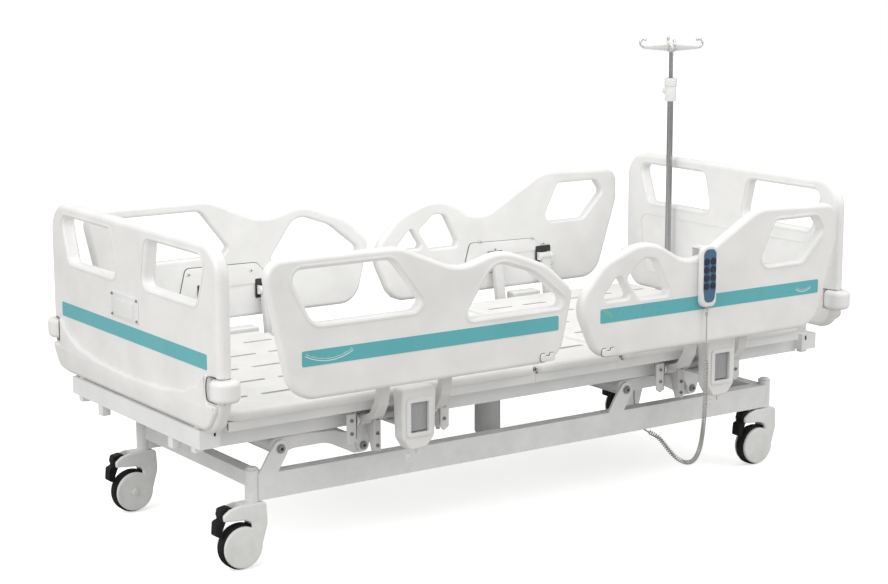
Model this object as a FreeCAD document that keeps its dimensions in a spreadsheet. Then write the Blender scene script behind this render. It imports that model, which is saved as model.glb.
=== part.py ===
import FreeCAD, Part
import math
import os
import re
import Sketcher
from FreeCAD import Rotation, Vector

# Electric hospital bed, in millimetres. +X points to the head end, +Z up, and the origin is on
# the floor at the middle of the bed. The far side is +Y; the near side mirrors it.

doc = FreeCAD.newDocument("electric_hospital_bed")
sheet = doc.addObject("Spreadsheet::Sheet", "Sizes")

DIMENSIONS = [
    ("board_span", 2180),
    ("board_thickness", 40),
    ("board_width", 1010),
    ("board_edge_round", 16),
    ("board_top", 904),
    ("footboard_bottom", 412),
    ("headboard_bottom", 440),
    ("board_corner_top", 85),
    ("board_corner_bottom", 95),
    ("board_foot_inset", 45),
    ("window_top", 868),
    ("window_bottom", 742),
    ("window_inner_top", 108),
    ("window_inner_bottom", 78),
    ("window_outer_top", 432),
    ("window_outer_bottom", 386),
    ("window_corner", 24),
    ("window_round", 11),
    ("post_radius", 12),
    ("post_place", 350),
    ("post_depth", 44),
    ("fit", 0.1),
    ("gap", 0.3),
    ("roller_radius", 39),
    ("roller_height", 58),
    ("roller_round", 14),
    ("roller_inset", 8),
    ("roller_level", 535),
    ("roller_axle", 5),
    ("roller_space", 3),
    ("end_beam_depth", 60),
    ("end_beam_height", 50),
    ("end_beam_width", 776),
    ("end_beam_top", 410),
    ("wall", 3),
    ("side_beam_outside", 360),
    ("side_beam_width", 40),
    ("side_beam_height", 50),
    ("side_beam_top", 402),
    ("cross_height", 24),
    ("cross_width", 40),
    ("deck_top", 460),
    ("deck_thickness", 30),
    ("deck_width", 880),
    ("deck_edge_round", 14),
    ("deck_corner", 60),
    ("deck_gap", 16),
    ("knee_gap", 30),
    ("knee_room", 24),
    ("knee_neck_front", 2),
    ("knee_neck_back", 12),
    ("knee_neck_depth", 17),
    ("knee_foot_depth", 25),
    ("foot_end_inset", 55),
    ("head_end_inset", 90),
    ("knee_hinge", 430),
    ("thigh_hinge", 45),
    ("back_hinge", 267),
    ("slot_length", 80),
    ("slot_width", 18),
    ("slot_pitch", 150),
    ("section_outside", 420),
    ("section_width", 24),
    ("section_height", 25),
    ("hinge_radius", 7.5),
    ("hinge_pin", 4.5),
    ("hinge_leaf", 11),
    ("crank_plate", 8),
    ("crank_pin", 6),
    ("crank_boss", 14),
    ("crank_slack", 1.5),
    ("back_crank", 100),
    ("back_swing", 70),
    ("thigh_crank", 90),
    ("thigh_swing", 35),
    ("lift_crank", 80),
    ("lift_swing", 68),
    ("back_drive_place", -200),
    ("thigh_drive_place", 200),
    ("lift_drive_place", 62),
    ("eye_thickness", 24),
    ("eye_side", 2),
    ("drive_rod", 8),
    ("drive_tube", 16),
    ("drive_tube_length", 120),
    ("gearbox_length", 100),
    ("gearbox_width", 70),
    ("gearbox_height", 60),
    ("motor_radius", 38),
    ("motor_height", 103),
    ("stem_foot", -905),
    ("stem_head", 935),
    ("stem_place", 325),
    ("stem_radius", 19),
    ("stem_top", 266),
    ("stem_bottom", 179.3),
    ("spigot_radius", 11),
    ("spigot_height", 45),
    ("base_rail_width", 40),
    ("base_rail_height", 70),
    ("end_rail_height", 40),
    ("base_rail_bottom", 183),
    ("wheel_radius", 62.5),
    ("wheel_width", 30),
    ("wheel_trail", 40),
    ("wheel_clear", 3.5),
    ("wheel_slot", 34),
    ("housing_width", 50),
    ("housing_disc", 57),
    ("axle_radius", 6),
    ("pedal_width", 31),
    ("pedal_pivot_back", 72),
    ("pedal_pivot_level", 158),
    ("pedal_pin", 4),
    ("lift_foot_place", -826),
    ("lift_head_place", 359),
    ("lift_level", 315),
    ("lift_reach", 258),
    ("lift_drop", 29),
    ("lift_arm_thickness", 12),
    ("lift_arm_outside", 334),
    ("lift_tube", 20),
    ("lift_pin", 8),
    ("lift_ear", 8),
    ("lift_ear_gap", 3),
    ("rail_outside", 548),
    ("rail_thickness", 36),
    ("rail_round", 13),
    ("rail_window_round", 9),
    ("foot_rail_mount", -490),
    ("head_rail_mount", 590),
    ("arm_spacing", 200),
    ("arm_width", 33),
    ("arm_boss", 13),
    ("arm_pin", 6),
    ("arm_shaft", 11),
    ("arm_pivot_place", 385),
    ("arm_pivot_level", 372),
    ("rail_pivot_place", 497),
    ("rail_pivot_level", 572),
    ("lug_thickness", 7),
    ("lug_side", 1),
    ("bearing_plate", 6),
    ("cover_front", 505),
    ("cover_depth", 47),
    ("cover_width", 110),
    ("cover_top", 468),
    ("cover_bottom", 296),
    ("cover_window_width", 58),
    ("cover_window_height", 84),
    ("cover_window_top", 428),
    ("cover_window_depth", 30),
    ("paddle_thickness", 7),
    ("paddle_inset", 6),
    ("paddle_pin", 3),
    ("paddle_side", 1),
    ("pole_inset", 72),
    ("pole_side", 245),
    ("pole_radius", 10),
    ("pole_wall", 2.9),
    ("pole_bottom", 374),
    ("pole_tube_top", 1160),
    ("pole_top", 1286),
    ("pole_rod_bottom", 700),
    ("pole_turn", -34.4),
    ("hook_reach", 105),
    ("hook_wire", 4),
    ("handset_place", 478),
    ("handset_width", 58),
    ("handset_height", 180),
    ("handset_thickness", 21),
    ("handset_bottom", 588),
    ("handset_corner", 20),
    ("handset_round", 6),
    ("handset_gap", 0.5),
    ("clip_width", 30),
    ("clip_thickness", 5),
    ("clip_level", 757),
    ("clip_drop", 50),
    ("button_radius", 8.5),
    ("button_height", 7),
    ("button_proud", 1.5),
    ("button_travel", 1.5),
    ("button_column", 25),
    ("button_row", 24),
    ("button_bottom", 650),
    ("lead_radius", 2.5),
    ("coil_radius", 6.5),
    ("control_length", 150),
    ("control_width", 200),
    ("control_height", 60),
    ("control_place", 425),
    ("control_side", -300),
    ("cross_bottom", 378),
    ("eye_length", 30),
    ("eye_start", 42),
    ("thigh_eye_start", 64),
    ("rod_end_room", 15),
    ("eye_wall", 7),
    ("rod_reserve", 40),
    ("back_tube_length", 150),
    ("lift_motor_height", 58),
    ("end_cross", 840),
    ("back_cross", -10),
    ("thigh_cross", -300),
    ("control_cross", 470),
    ("head_cross", 885),
    ("leaf_end_space", 16),
    ("back_middle", 380),
    ("frame_inset", 14),
    ("knee_bar_space", 34),
    ("calf_middle", 330),
    ("seat_bar_space", 22),
    ("slot_column", 138),
    ("bearing_offset", 24),
    ("cover_bracket", 8),
    ("socket_height", 38),
    ("clip_gap", 4),
    ("relief_length", 14),
]

for row, (name, value) in enumerate(DIMENSIONS, start=1):
    sheet.set(f"A{row}", name)
    sheet.set(f"B{row}", str(value))
    sheet.setAlias(f"B{row}", name)
doc.recompute()
NAMES = {name for name, value in DIMENSIONS}
nodes = []


def sized(text):
    """An expression with the sheet's name before each of its sizes."""
    return re.sub(r"[a-z][a-z_]+", lambda word: f"Sizes.{word[0]}" if word[0] in NAMES else word[0], text)


probe = doc.addObject("Part::Box", "Probe")


def number(text):
    """What an expression comes to, for the start of a sketch and for plain Part shapes."""
    return float(probe.evalExpression(sized(str(text))))


def bind(thing, **sizes):
    for name, text in sizes.items():
        thing.setExpression(name, sized(str(text)))
    return thing


def put(thing, x="0", y="0", z="0"):
    thing.setExpression("Placement.Base.x", sized(str(x)))
    thing.setExpression("Placement.Base.y", sized(str(y)))
    thing.setExpression("Placement.Base.z", sized(str(z)))
    return thing


def box(x, y, z, length, width, height):
    return put(bind(doc.addObject("Part::Box", "box"), Length=length, Width=width, Height=height), x, y, z)


def wide_box(x, z, length, width, height):
    """A box across the bed, centred on its middle line."""
    return box(x, f"-({width}) / 2", z, length, width, height)


TURNS = {
    "X": Rotation(Vector(0, 1, 0), 90),
    "Y": Rotation(Vector(1, 0, 0), -90),
    "Z": Rotation(),
}


def bar(axis, x, y, z, radius, length):
    """A round bar that starts at a point and runs along an axis."""
    round_bar = bind(doc.addObject("Part::Cylinder", "bar"), Radius=radius, Height=length)
    round_bar.Placement.Rotation = TURNS[axis]
    return put(round_bar, x, y, z)


def across(x, z, radius, length):
    """A round bar across the bed, centred on its middle line."""
    return bar("Y", x, f"-({length}) / 2", z, radius, length)


def fuse(shapes):
    joined = doc.addObject("Part::MultiFuse", "fuse")
    joined.Shapes = shapes
    joined.Refine = True
    return joined


def cut(base, tools):
    drilled = doc.addObject("Part::Cut", "cut")
    drilled.Base = base
    drilled.Tool = tools[0] if len(tools) == 1 else fuse(tools)
    return drilled


def mirrored(source, normal=(0, 1, 0)):
    image = doc.addObject("Part::Mirroring", "mirror")
    image.Source = source
    image.Base = (0, 0, 0)
    image.Normal = normal
    return image


def both_sides(shape):
    return [shape, mirrored(shape)]


def copy_of(source, x="0", y="0", z="0"):
    twin = doc.addObject("Part::Compound", "copy")
    twin.Links = [source]
    return put(twin, x, y, z)


def rounded(base, radius, picks):
    """Rounds the edges that picks chooses."""
    doc.recompute()
    softened = doc.addObject("Part::Fillet", "round")
    softened.Base = base
    size = number(radius)
    softened.Edges = [(index, size, size) for index, edge in enumerate(base.Shape.Edges, start=1) if picks(edge)]
    return softened


def node(label, thing):
    thing.Label = label
    nodes.append(thing)
    return thing


def plane(body, role):
    return next(part for part in body.Origin.OriginFeatures if part.Role == role)


def add_outline(sketch, corners):
    """One closed outline: straight runs joined by tangent arcs. Each corner is x, y and radius."""
    places = [Vector(number(x), number(y), 0) for x, y, radius in corners]
    count = len(corners)
    starts, ends, arcs = [], [], []
    for index, (x, y, radius) in enumerate(corners):
        here = places[index]
        back = (places[index - 1] - here).normalize()
        ahead = (places[(index + 1) % count] - here).normalize()
        half = back.getAngle(ahead) / 2
        size = number(radius)
        ends.append(here + back * (size / math.tan(half)))
        starts.append(here + ahead * (size / math.tan(half)))
        middle = here + (back + ahead).normalize() * (size / math.sin(half))
        left = (here - places[index - 1]).cross(places[(index + 1) % count] - here).z > 0
        first, last = (ends[-1], starts[-1]) if left else (starts[-1], ends[-1])
        arcs.append((middle, size, first - middle, last - middle, left))
    lines = [
        sketch.addGeometry(Part.LineSegment(starts[index], ends[(index + 1) % count]), False)
        for index in range(count)
    ]
    for index, (x, y, radius) in enumerate(corners):
        middle, size, first, last, left = arcs[index]
        angles = [math.atan2(side.y, side.x) for side in (first, last)]
        circle = Part.Circle(middle, Vector(0, 0, 1), size)
        arc = sketch.addGeometry(Part.ArcOfCircle(circle, angles[0], angles[1]), False)
        point = sketch.addGeometry(Part.Point(places[index]), True)
        before, after = lines[index - 1], lines[index]
        arc_in, arc_out = (1, 2) if left else (2, 1)
        sketch.addConstraint([
            Sketcher.Constraint("Tangent", before, 2, arc, arc_in),
            Sketcher.Constraint("Tangent", arc, arc_out, after, 1),
            Sketcher.Constraint("PointOnObject", point, 1, before),
            Sketcher.Constraint("PointOnObject", point, 1, after),
        ])
        for kind, text in (("DistanceX", x), ("DistanceY", y)):
            held = sketch.addConstraint(Sketcher.Constraint(kind, -1, 1, point, 1, number(text)))
            sketch.setExpression(f"Constraints[{held}]", sized(str(text)))
        held = sketch.addConstraint(Sketcher.Constraint("Radius", arc, size))
        sketch.setExpression(f"Constraints[{held}]", sized(str(radius)))


def slab(name, role, outlines, thickness):
    """A body with one symmetric pad of its outlines; the first is the outside, the others are holes."""
    body = doc.addObject("PartDesign::Body", name)
    sketch = body.newObject("Sketcher::SketchObject", name + "_outline")
    sketch.AttachmentSupport = (plane(body, role), [""])
    sketch.MapMode = "FlatFace"
    for outline in outlines:
        add_outline(sketch, outline)
    pad = body.newObject("PartDesign::Pad", name + "_pad")
    pad.Profile = sketch
    pad.SideType = "Symmetric"
    bind(pad, Length=thickness)
    doc.recompute()
    return body


def soften(body, axis, outside, windows=None):
    """Rounds both broad faces of a slab: first their outer edge, then the edges of the windows."""
    for size, take_outer in ((outside, True), (windows, False)):
        base = body.Tip
        shape = base.Shape
        names = []
        for face in shape.Faces:
            if face.Surface.TypeId != "Part::GeomPlane" or abs(face.Surface.Axis.dot(axis)) < 0.99:
                continue
            outer = face.OuterWire
            for wire in face.Wires:
                if wire.isSame(outer) == take_outer:
                    for edge in wire.Edges:
                        names += [f"Edge{n}" for n, other in enumerate(shape.Edges, start=1) if other.isSame(edge)]
        if size and names:
            fillet = body.newObject("PartDesign::Fillet", "soft_edges")
            fillet.Base = (base, names)
            bind(fillet, Radius=size)
            doc.recompute()
    return body


def tube_along(x, y, z, length, width, height):
    """A rectangular tube along the bed, open at its ends."""
    outer = box(x, y, z, length, width, height)
    inner = box(x, f"({y}) + wall", f"({z}) + wall", length, f"({width}) - 2 * wall", f"({height}) - 2 * wall")
    return cut(outer, [inner])


def tube_across(x, z, length, width, height):
    """A rectangular tube across the bed, open at its ends."""
    outer = wide_box(x, z, length, width, height)
    inner = wide_box(f"({x}) + wall", f"({z}) + wall", f"({length}) - 2 * wall", width, f"({height}) - 2 * wall")
    return cut(outer, [inner])


# Base: two long rails, two end beams, four stems for the casters and the lower lift brackets
STEMS = {"foot": "stem_foot", "head": "stem_head"}
LIFTS = {"foot": "lift_foot_place", "head": "lift_head_place"}
HINGE_LEVEL = "deck_top - deck_thickness / 2"
BOARD_MIDDLE = "(board_span / 2 - board_thickness / 2)"
FOOT_END = "(board_span / 2 - foot_end_inset)"
HEAD_END = "(board_span / 2 - head_end_inset)"
POLE_PLACE = "(board_span / 2 - pole_inset)"


def lift_ear(x, z, outline, boss):
    """One far side ear with its pivot pin, for either end of a lift arm."""
    inside = "lift_arm_outside + lift_ear_gap"
    ring = [(f"{x} + ({along})", level, "4") for along, level in outline]
    plate = put(slab("lift_ear", "XZ_Plane", [ring], "lift_ear"), y=f"{inside} + lift_ear / 2")
    eye = bar("Y", x, inside, z, boss, "lift_ear")
    pin = bar("Y", x, "lift_arm_outside - 2 * lift_arm_thickness", z, "lift_pin",
              "2 * lift_arm_thickness + lift_ear_gap + lift_ear")
    return fuse([plate, eye, pin])


def lower_ear(place):
    """The plate leans from the rail up to the lower pivot."""
    foot = "base_rail_bottom + base_rail_height - wall"
    outline = [("-70", foot), ("-12", foot), ("21", "lift_level - 14"), ("20", "lift_level + 8"),
               ("-14", "lift_level + 16"), ("-36", "lift_level - 10")]
    return lift_ear(place, "lift_level", outline, "lift_tube + 2")


def upper_ear(place):
    """The plate widens from the upper pivot to the side beam."""
    top = "side_beam_top - side_beam_height + wall"
    outline = [("-14", f"{LIFT_TOP} - 10"), ("14", f"{LIFT_TOP} - 10"), ("18", LIFT_TOP), ("42", top),
               ("-56", top), ("-18", f"{LIFT_TOP} + 8")]
    return lift_ear(f"{place} + lift_reach", LIFT_TOP, outline, "lift_tube - 2")


def base_frame():
    rail_inside = "stem_place - base_rail_width / 2"
    shapes = both_sides(tube_along("stem_foot + stem_radius / 2", rail_inside, "base_rail_bottom",
                                   "stem_head - stem_foot - stem_radius", "base_rail_width", "base_rail_height"))
    for stem in STEMS.values():
        inward = "" if stem == "stem_foot" else " - base_rail_width"
        shapes.append(tube_across(stem + inward, "base_rail_bottom + base_rail_height - end_rail_height",
                                  "base_rail_width", "2 * stem_place - stem_radius", "end_rail_height"))
        post = bar("Z", stem, "stem_place", "stem_bottom", "stem_radius", "stem_top - stem_bottom")
        shapes += both_sides(post)
    for place in LIFTS.values():
        shapes += both_sides(lower_ear(place))
    bores = []
    for stem in STEMS.values():
        bore = bar("Z", stem, "stem_place", "stem_bottom", "spigot_radius + fit", "spigot_height + 1")
        bores += both_sides(bore)
    return node("base_frame", cut(fuse(shapes), bores))


# Casters: a moulded housing on a spigot, a wheel between its cheeks and a rocking brake pedal
def caster_housing():
    profile = [
        ("-97", "142", "4"), ("-99", "158", "9"), ("-80", "172", "22"), ("-52", "179", "12"),
        ("30", "179", "12"), ("34", "120", "60"), ("16", "58", "10"), ("-10", "66", "10"),
        ("-14", "128", "16"), ("-36", "137", "20"),
    ]
    block = soften(slab("caster_block", "XZ_Plane", [profile], "housing_width"), Vector(0, 1, 0), "5")
    disc = across("-wheel_trail", "wheel_radius", "housing_disc", "housing_width")
    disc = rounded(disc, "4", lambda edge: edge.Curve.TypeId == "Part::GeomCircle")
    spigot = bar("Z", "0", "0", "170", "spigot_radius", "stem_bottom + spigot_height - 170")
    wheel_space = across("-wheel_trail", "wheel_radius", "wheel_radius + wheel_clear", "wheel_slot")
    pedal_space = wide_box("-110", "128", "66", "wheel_slot", "60")
    shell = cut(fuse([block, disc, spigot]), [wheel_space, pedal_space])
    axle = across("-wheel_trail", "wheel_radius", "axle_radius", "housing_width - 4")
    pedal_pin = across("-pedal_pivot_back", "pedal_pivot_level", "pedal_pin", "housing_width - 6")
    return fuse([shell, axle, pedal_pin])


def caster_wheel():
    disc = across("-wheel_trail", "wheel_radius", "wheel_radius", "wheel_width")
    disc = rounded(disc, "7", lambda edge: edge.Curve.TypeId == "Part::GeomCircle")
    groove = across("-wheel_trail", "wheel_radius", "wheel_radius - 14", "wheel_width + 2")
    groove = cut(groove, [across("-wheel_trail", "wheel_radius", "wheel_radius - 14", "wheel_width - 6")])
    bore = across("-wheel_trail", "wheel_radius", "axle_radius + fit", "wheel_width + 2")
    return cut(disc, [groove, bore])


def brake_pedal():
    profile = [
        ("-62", "150", "4"), ("-60", "170", "5"), ("-76", "178", "6"), ("-100", "174", "7"),
        ("-104", "158", "4"), ("-100", "146", "3"), ("-115", "140", "6"), ("-118", "104", "6"),
        ("-100", "96", "4"), ("-97", "118", "8"), ("-86", "143", "5"),
    ]
    lever = soften(slab("pedal_lever", "XZ_Plane", [profile], "pedal_width"), Vector(0, 1, 0), "2")
    bore = across("-pedal_pivot_back", "pedal_pivot_level", "pedal_pin + fit", "pedal_width + 2")
    return cut(lever, [bore])


def casters():
    housing, wheel, pedal = caster_housing(), caster_wheel(), brake_pedal()
    for end, stem in STEMS.items():
        for side, sign in (("near", "-"), ("far", "")):
            node(f"caster_housing_{side}_{end}", copy_of(housing, stem, f"{sign}stem_place"))
            node(f"caster_wheel_{side}_{end}", copy_of(wheel, stem, f"{sign}stem_place"))
            node(f"brake_pedal_{side}_{end}", copy_of(pedal, stem, f"{sign}stem_place"))


# Lift: two welded arms, each a pair of plates on two cross tubes, with a drive crank on the upper tube
def lift_arm(end, place):
    half = "lift_arm_thickness"
    profile = [
        (f"{place} - 26", "lift_level - 22", "20"), (f"{place} - 22", "lift_level + 26", "20"),
        (f"{place} + 70", "lift_level + 29", "90"), (f"{place} + 175", "lift_level + 22", "60"),
        (f"{place} + lift_reach + 22", "lift_level - lift_drop + 20", "18"),
        (f"{place} + lift_reach + 22", "lift_level - lift_drop - 22", "18"),
        (f"{place} + lift_reach - 22", "lift_level - lift_drop - 22", "20"),
        (f"{place} + 150", "lift_level - 8", "90"), (f"{place} + 50", "lift_level - 8", "40"),
    ]
    plate = soften(slab(f"lift_plate_{end}", "XZ_Plane", [profile], half), Vector(0, 1, 0), "2")
    put(plate, y="lift_arm_outside - lift_arm_thickness / 2")
    upper_x, upper_z = f"{place} + lift_reach", "lift_level - lift_drop"
    inner_span = "2 * (lift_arm_outside - lift_arm_thickness / 2)"
    tubes = [across(place, "lift_level", "lift_tube", inner_span), across(upper_x, upper_z, "lift_tube - 2", inner_span)]
    lean = "lift_swing / 2"
    pin_x, pin_z = f"{upper_x} + lift_crank * sin({lean} * 1 deg)", f"{upper_z} + lift_crank * cos({lean} * 1 deg)"
    cranks = crank_plates(upper_x, upper_z, pin_x, pin_z, "lift_drive_place")
    bores = []
    for x, z in ((place, "lift_level"), (upper_x, upper_z)):
        bore = bar("Y", x, "lift_arm_outside - 2 * lift_arm_thickness - 2", z, "lift_pin + fit", "3 * lift_arm_thickness")
        bores += both_sides(bore)
    return node(f"lift_arm_{end}", cut(fuse(both_sides(plate) + tubes + cranks), bores))


def crank_plates(x, z, pin_x, pin_z, side):
    """Two crank plates from a shaft to a drive pin, one each side of the rod's eye."""
    space = "(eye_thickness / 2 + eye_side)"
    shapes = []
    for start in (f"{side} + {space}", f"{side} - {space} - crank_plate"):
        hub = bar("Y", x, start, z, "crank_boss + 4", "crank_plate")
        boss = bar("Y", pin_x, start, pin_z, "crank_boss", "crank_plate")
        web = bind(doc.addObject("Part::Box", "web"), Length="2 * crank_boss", Width="crank_plate",
                   Height=f"sqrt(pow({pin_x} - ({x}); 2) + pow({pin_z} - ({z}); 2))")
        lean = f"atan2({pin_x} - ({x}); {pin_z} - ({z}))"
        web.Placement.Rotation = Rotation(Vector(0, 1, 0), 1)
        web.setExpression("Placement.Rotation.Angle", sized(lean))
        put(web, f"{x} - crank_boss * cos({lean})", start, f"{z} + crank_boss * sin({lean})")
        shapes += [hub, boss, web]
    pin = bar("Y", pin_x, f"{side} - {space} - crank_plate", pin_z, "crank_pin",
              "eye_thickness + 2 * eye_side + 2 * crank_plate")
    return shapes + [pin]


# Drives: gearbox, hanging motor and outer tube on the upper frame, and a rod with a slotted eye
def swing_pin(hinge_x, hinge_z, crank, swing, sign):
    """Where a crank pin stands at rest when its swing is centred under or over its hinge."""
    return f"{hinge_x} - ({sign}) * {crank} * sin({swing} / 2 * 1 deg)", \
           f"{hinge_z} - {crank} * cos({swing} / 2 * 1 deg)"


def drive_parts(pin_x, level, side, toward, tube_length="drive_tube_length", motor_height="motor_height",
                start="eye_start"):
    """Motor group and bore of one drive whose tube starts behind the eye; toward is the eye's side."""
    near_face = f"({pin_x}) - ({toward}) * (eye_length / 2 + {start})"
    low = f"min({near_face}; {near_face} - ({toward}) * {tube_length})"
    gear_face = f"({near_face}) - ({toward}) * {tube_length}"
    gear_low = f"min({gear_face}; {gear_face} - ({toward}) * gearbox_length)"
    tube = bar("X", low, side, level, "drive_tube", tube_length)
    case = box(gear_low, f"{side} - gearbox_width / 2", "cross_bottom - gearbox_height", "gearbox_length",
               "gearbox_width", "gearbox_height")
    case = rounded(case, "8", lambda edge: abs(edge.tangentAt(edge.FirstParameter).z) > 0.9)
    motor = bar("Z", f"{gear_low} + gearbox_length / 2", side,
                f"cross_bottom - gearbox_height - {motor_height}", "motor_radius", f"{motor_height} + 1")
    motor = rounded(motor, "7", lambda edge: edge.Curve.TypeId == "Part::GeomCircle"
                    and edge.CenterOfMass.z < number("cross_bottom - gearbox_height - 5"))
    bore_low = f"min({near_face} + ({toward}); {gear_face} - ({toward}) * rod_reserve)"
    bore = bar("X", bore_low, side, level, "drive_rod + gap", f"{tube_length} + rod_reserve + 1")
    return cut(fuse([tube, case, motor]), [bore])


def drive_rod(label, pin_x, level, side, toward, rise, tube_length="drive_tube_length", start="eye_start",
              draw_in="0"):
    """A rod with an upright slotted eye that lets the crank pin swing; draw_in is its stroke into the case."""
    eye_height = f"2 * (({rise}) + crank_pin + crank_slack + eye_wall)"
    eye = box(f"({pin_x}) - eye_length / 2", f"{side} - eye_thickness / 2", f"({level}) - ({eye_height}) / 2",
              "eye_length", "eye_thickness", eye_height)
    eye = rounded(eye, "5", lambda edge: abs(edge.tangentAt(edge.FirstParameter).y) > 0.9)
    root = f"({pin_x}) - ({toward}) * eye_length / 2.5"
    reach = f"eye_length / 2 + {start} + {tube_length} + rod_reserve - rod_end_room - {draw_in}"
    finish = f"({pin_x}) - ({toward}) * ({reach})"
    shaft = bar("X", f"min({root}; {finish})", side, level, "drive_rod", f"abs(({root}) - ({finish}))")
    half = "crank_pin + crank_slack"
    slot = box(f"({pin_x}) - ({half})", f"{side} - eye_thickness", f"({level}) - ({rise})", f"2 * ({half})",
               "2 * eye_thickness", f"2 * ({rise})")
    ends = [bar("Y", pin_x, f"{side} - eye_thickness", f"({level}) {sign} ({rise})", half, "2 * eye_thickness")
            for sign in "+-"]
    return node(label, cut(fuse([eye, shaft]), [slot] + ends))


def half_rise(crank, swing):
    """Half of how far a crank pin rises over its swing, with room to spare."""
    return f"{crank} * (1 - cos({swing} / 2 * 1 deg)) / 2 + 0.5"


def middle_level(hinge_z, crank, swing, sign="-"):
    return f"{hinge_z} {sign} {crank} * (1 + cos({swing} / 2 * 1 deg)) / 2"


BACK_PIN = swing_pin("back_hinge", HINGE_LEVEL, "back_crank", "back_swing", "1")
THIGH_PIN = swing_pin("-thigh_hinge", HINGE_LEVEL, "thigh_crank", "thigh_swing", "-1")
BACK_LEVEL = middle_level(HINGE_LEVEL, "back_crank", "back_swing")
THIGH_LEVEL = middle_level(HINGE_LEVEL, "thigh_crank", "thigh_swing")
LIFT_TOP = "lift_level - lift_drop"
LIFT_LEVEL = middle_level(LIFT_TOP, "lift_crank", "lift_swing", "+")


def lift_pin_x(place):
    return f"{place} + lift_reach + lift_crank * sin(lift_swing / 2 * 1 deg)"


def drives():
    groups = [
        drive_parts(BACK_PIN[0], BACK_LEVEL, "back_drive_place", "1", "back_tube_length"),
        drive_parts(THIGH_PIN[0], THIGH_LEVEL, "thigh_drive_place", "1", start="thigh_eye_start"),
    ]
    groups += [drive_parts(lift_pin_x(place), LIFT_LEVEL, "lift_drive_place", "-1",
                           motor_height="lift_motor_height") for place in LIFTS.values()]
    motors = doc.addObject("Part::Compound", "motors")
    motors.Links = groups
    node("drive_motors", motors)
    drive_rod("back_rod", BACK_PIN[0], BACK_LEVEL, "back_drive_place", "1", half_rise("back_crank", "back_swing"),
              "back_tube_length")
    drive_rod("thigh_rod", THIGH_PIN[0], THIGH_LEVEL, "thigh_drive_place", "1",
              half_rise("thigh_crank", "thigh_swing"), start="thigh_eye_start",
              draw_in="2 * thigh_crank * sin(thigh_swing / 2 * 1 deg)")
    for end, place in LIFTS.items():
        drive_rod(f"lift_rod_{end}", lift_pin_x(place), LIFT_LEVEL, "lift_drive_place", "-1",
                  half_rise("lift_crank", "lift_swing"))


# Deck: four plastic panels with rounded edges and slots, on three section frames and the seat frame
def deck_panel(label, foot, head, columns):
    middle, length = f"(({foot}) + ({head})) / 2", f"(({head}) - ({foot}))"
    half_length, half_width = f"{length} / 2", "deck_width / 2"
    far_round = "deck_corner" if label in ("calf_panel", "back_panel") else "deck_edge_round + 4"
    foot_round = far_round if label == "calf_panel" else "deck_edge_round + 4"
    head_round = far_round if label == "back_panel" else "deck_edge_round + 4"
    outline = [
        (f"-{half_length}", f"-{half_width}", foot_round), (half_length, f"-{half_width}", head_round),
        (half_length, half_width, head_round), (f"-{half_length}", half_width, foot_round),
    ]
    body = soften(slab(label + "_slab", "XY_Plane", [outline], "deck_thickness"), Vector(0, 0, 1), "deck_edge_round")
    put(body, middle, "0", "deck_top - deck_thickness / 2")
    slots = []
    for column in range(columns):
        for line in (-2, -1, 0, 1, 2):
            x = f"{middle} + ({column - (columns - 1) / 2}) * slot_column"
            y = f"{line} * slot_pitch"
            hole = box(f"{x} - slot_length / 2", f"{y} - slot_width / 2", "deck_top - deck_thickness - 5",
                       "slot_length", "slot_width", "deck_thickness + 10")
            ends = [bar("Z", f"{x} {sign} slot_length / 2", y, "deck_top - deck_thickness - 5", "slot_width / 2",
                        "deck_thickness + 10") for sign in "+-"]
            slots += [hole] + ends
    return node(label, cut(body, slots))


def hinge_side(x, inside, toward, with_pin):
    """Far side hinge leaf at a deck hinge: a post up to the hinge line, with its pin or its bore."""
    low = "deck_top - deck_thickness - section_height"
    start = "section_outside - section_width" if inside else "section_outside - hinge_leaf"
    post = box(f"{x} - hinge_radius", start, low, "2 * hinge_radius", "hinge_leaf", f"{HINGE_LEVEL} - ({low})")
    ring = bar("Y", x, start, HINGE_LEVEL, "hinge_radius", "hinge_leaf")
    foot_start = f"min({x}; {x} + ({toward}) * (hinge_radius + 3))"
    foot = box(foot_start, start, low, "hinge_radius + 3", "hinge_leaf", "section_height")
    shapes = [post, ring, foot]
    if with_pin:
        shapes.append(bar("Y", x, start, HINGE_LEVEL, "hinge_pin", "section_width + 4"))
        shapes.append(bar("Y", x, "section_outside + 1", HINGE_LEVEL, "hinge_radius", "4"))
    return fuse(shapes)


def knee_side(inside, toward, with_pin):
    """Far side leaf at the knee: a short neck and a shallow foot, clear of the other section when bent."""
    start = "section_outside - section_width" if inside else "section_outside - hinge_leaf"
    neck_start = f"-knee_hinge + min(({toward}) * knee_neck_back; -({toward}) * knee_neck_front)"
    neck = box(neck_start, start, f"{HINGE_LEVEL} - knee_neck_depth", "knee_neck_back + knee_neck_front",
               "hinge_leaf", "knee_neck_depth")
    ring = bar("Y", "-knee_hinge", start, HINGE_LEVEL, "hinge_radius", "hinge_leaf")
    foot_start = f"-knee_hinge + min(({toward}) * knee_neck_front; ({toward}) * (knee_room + wall))"
    foot = box(foot_start, start, f"{HINGE_LEVEL} - knee_foot_depth", "knee_room + wall - knee_neck_front",
               "hinge_leaf", "knee_foot_depth - deck_thickness / 2")
    shapes = [neck, ring, foot]
    if with_pin:
        shapes.append(bar("Y", "-knee_hinge", start, HINGE_LEVEL, "hinge_pin", "section_width + 4"))
        shapes.append(bar("Y", "-knee_hinge", "section_outside + 1", HINGE_LEVEL, "hinge_radius", "4"))
    return fuse(shapes)


def side_members(foot, head):
    low = "deck_top - deck_thickness - section_height"
    return both_sides(tube_along(foot, "section_outside - section_width", low, f"({head}) - ({foot})",
                                 "section_width", "section_height"))


def section_cross(x):
    return tube_across(x, "deck_top - deck_thickness - section_height", "section_width",
                       "2 * (section_outside - section_width / 2)", "section_height")


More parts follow.
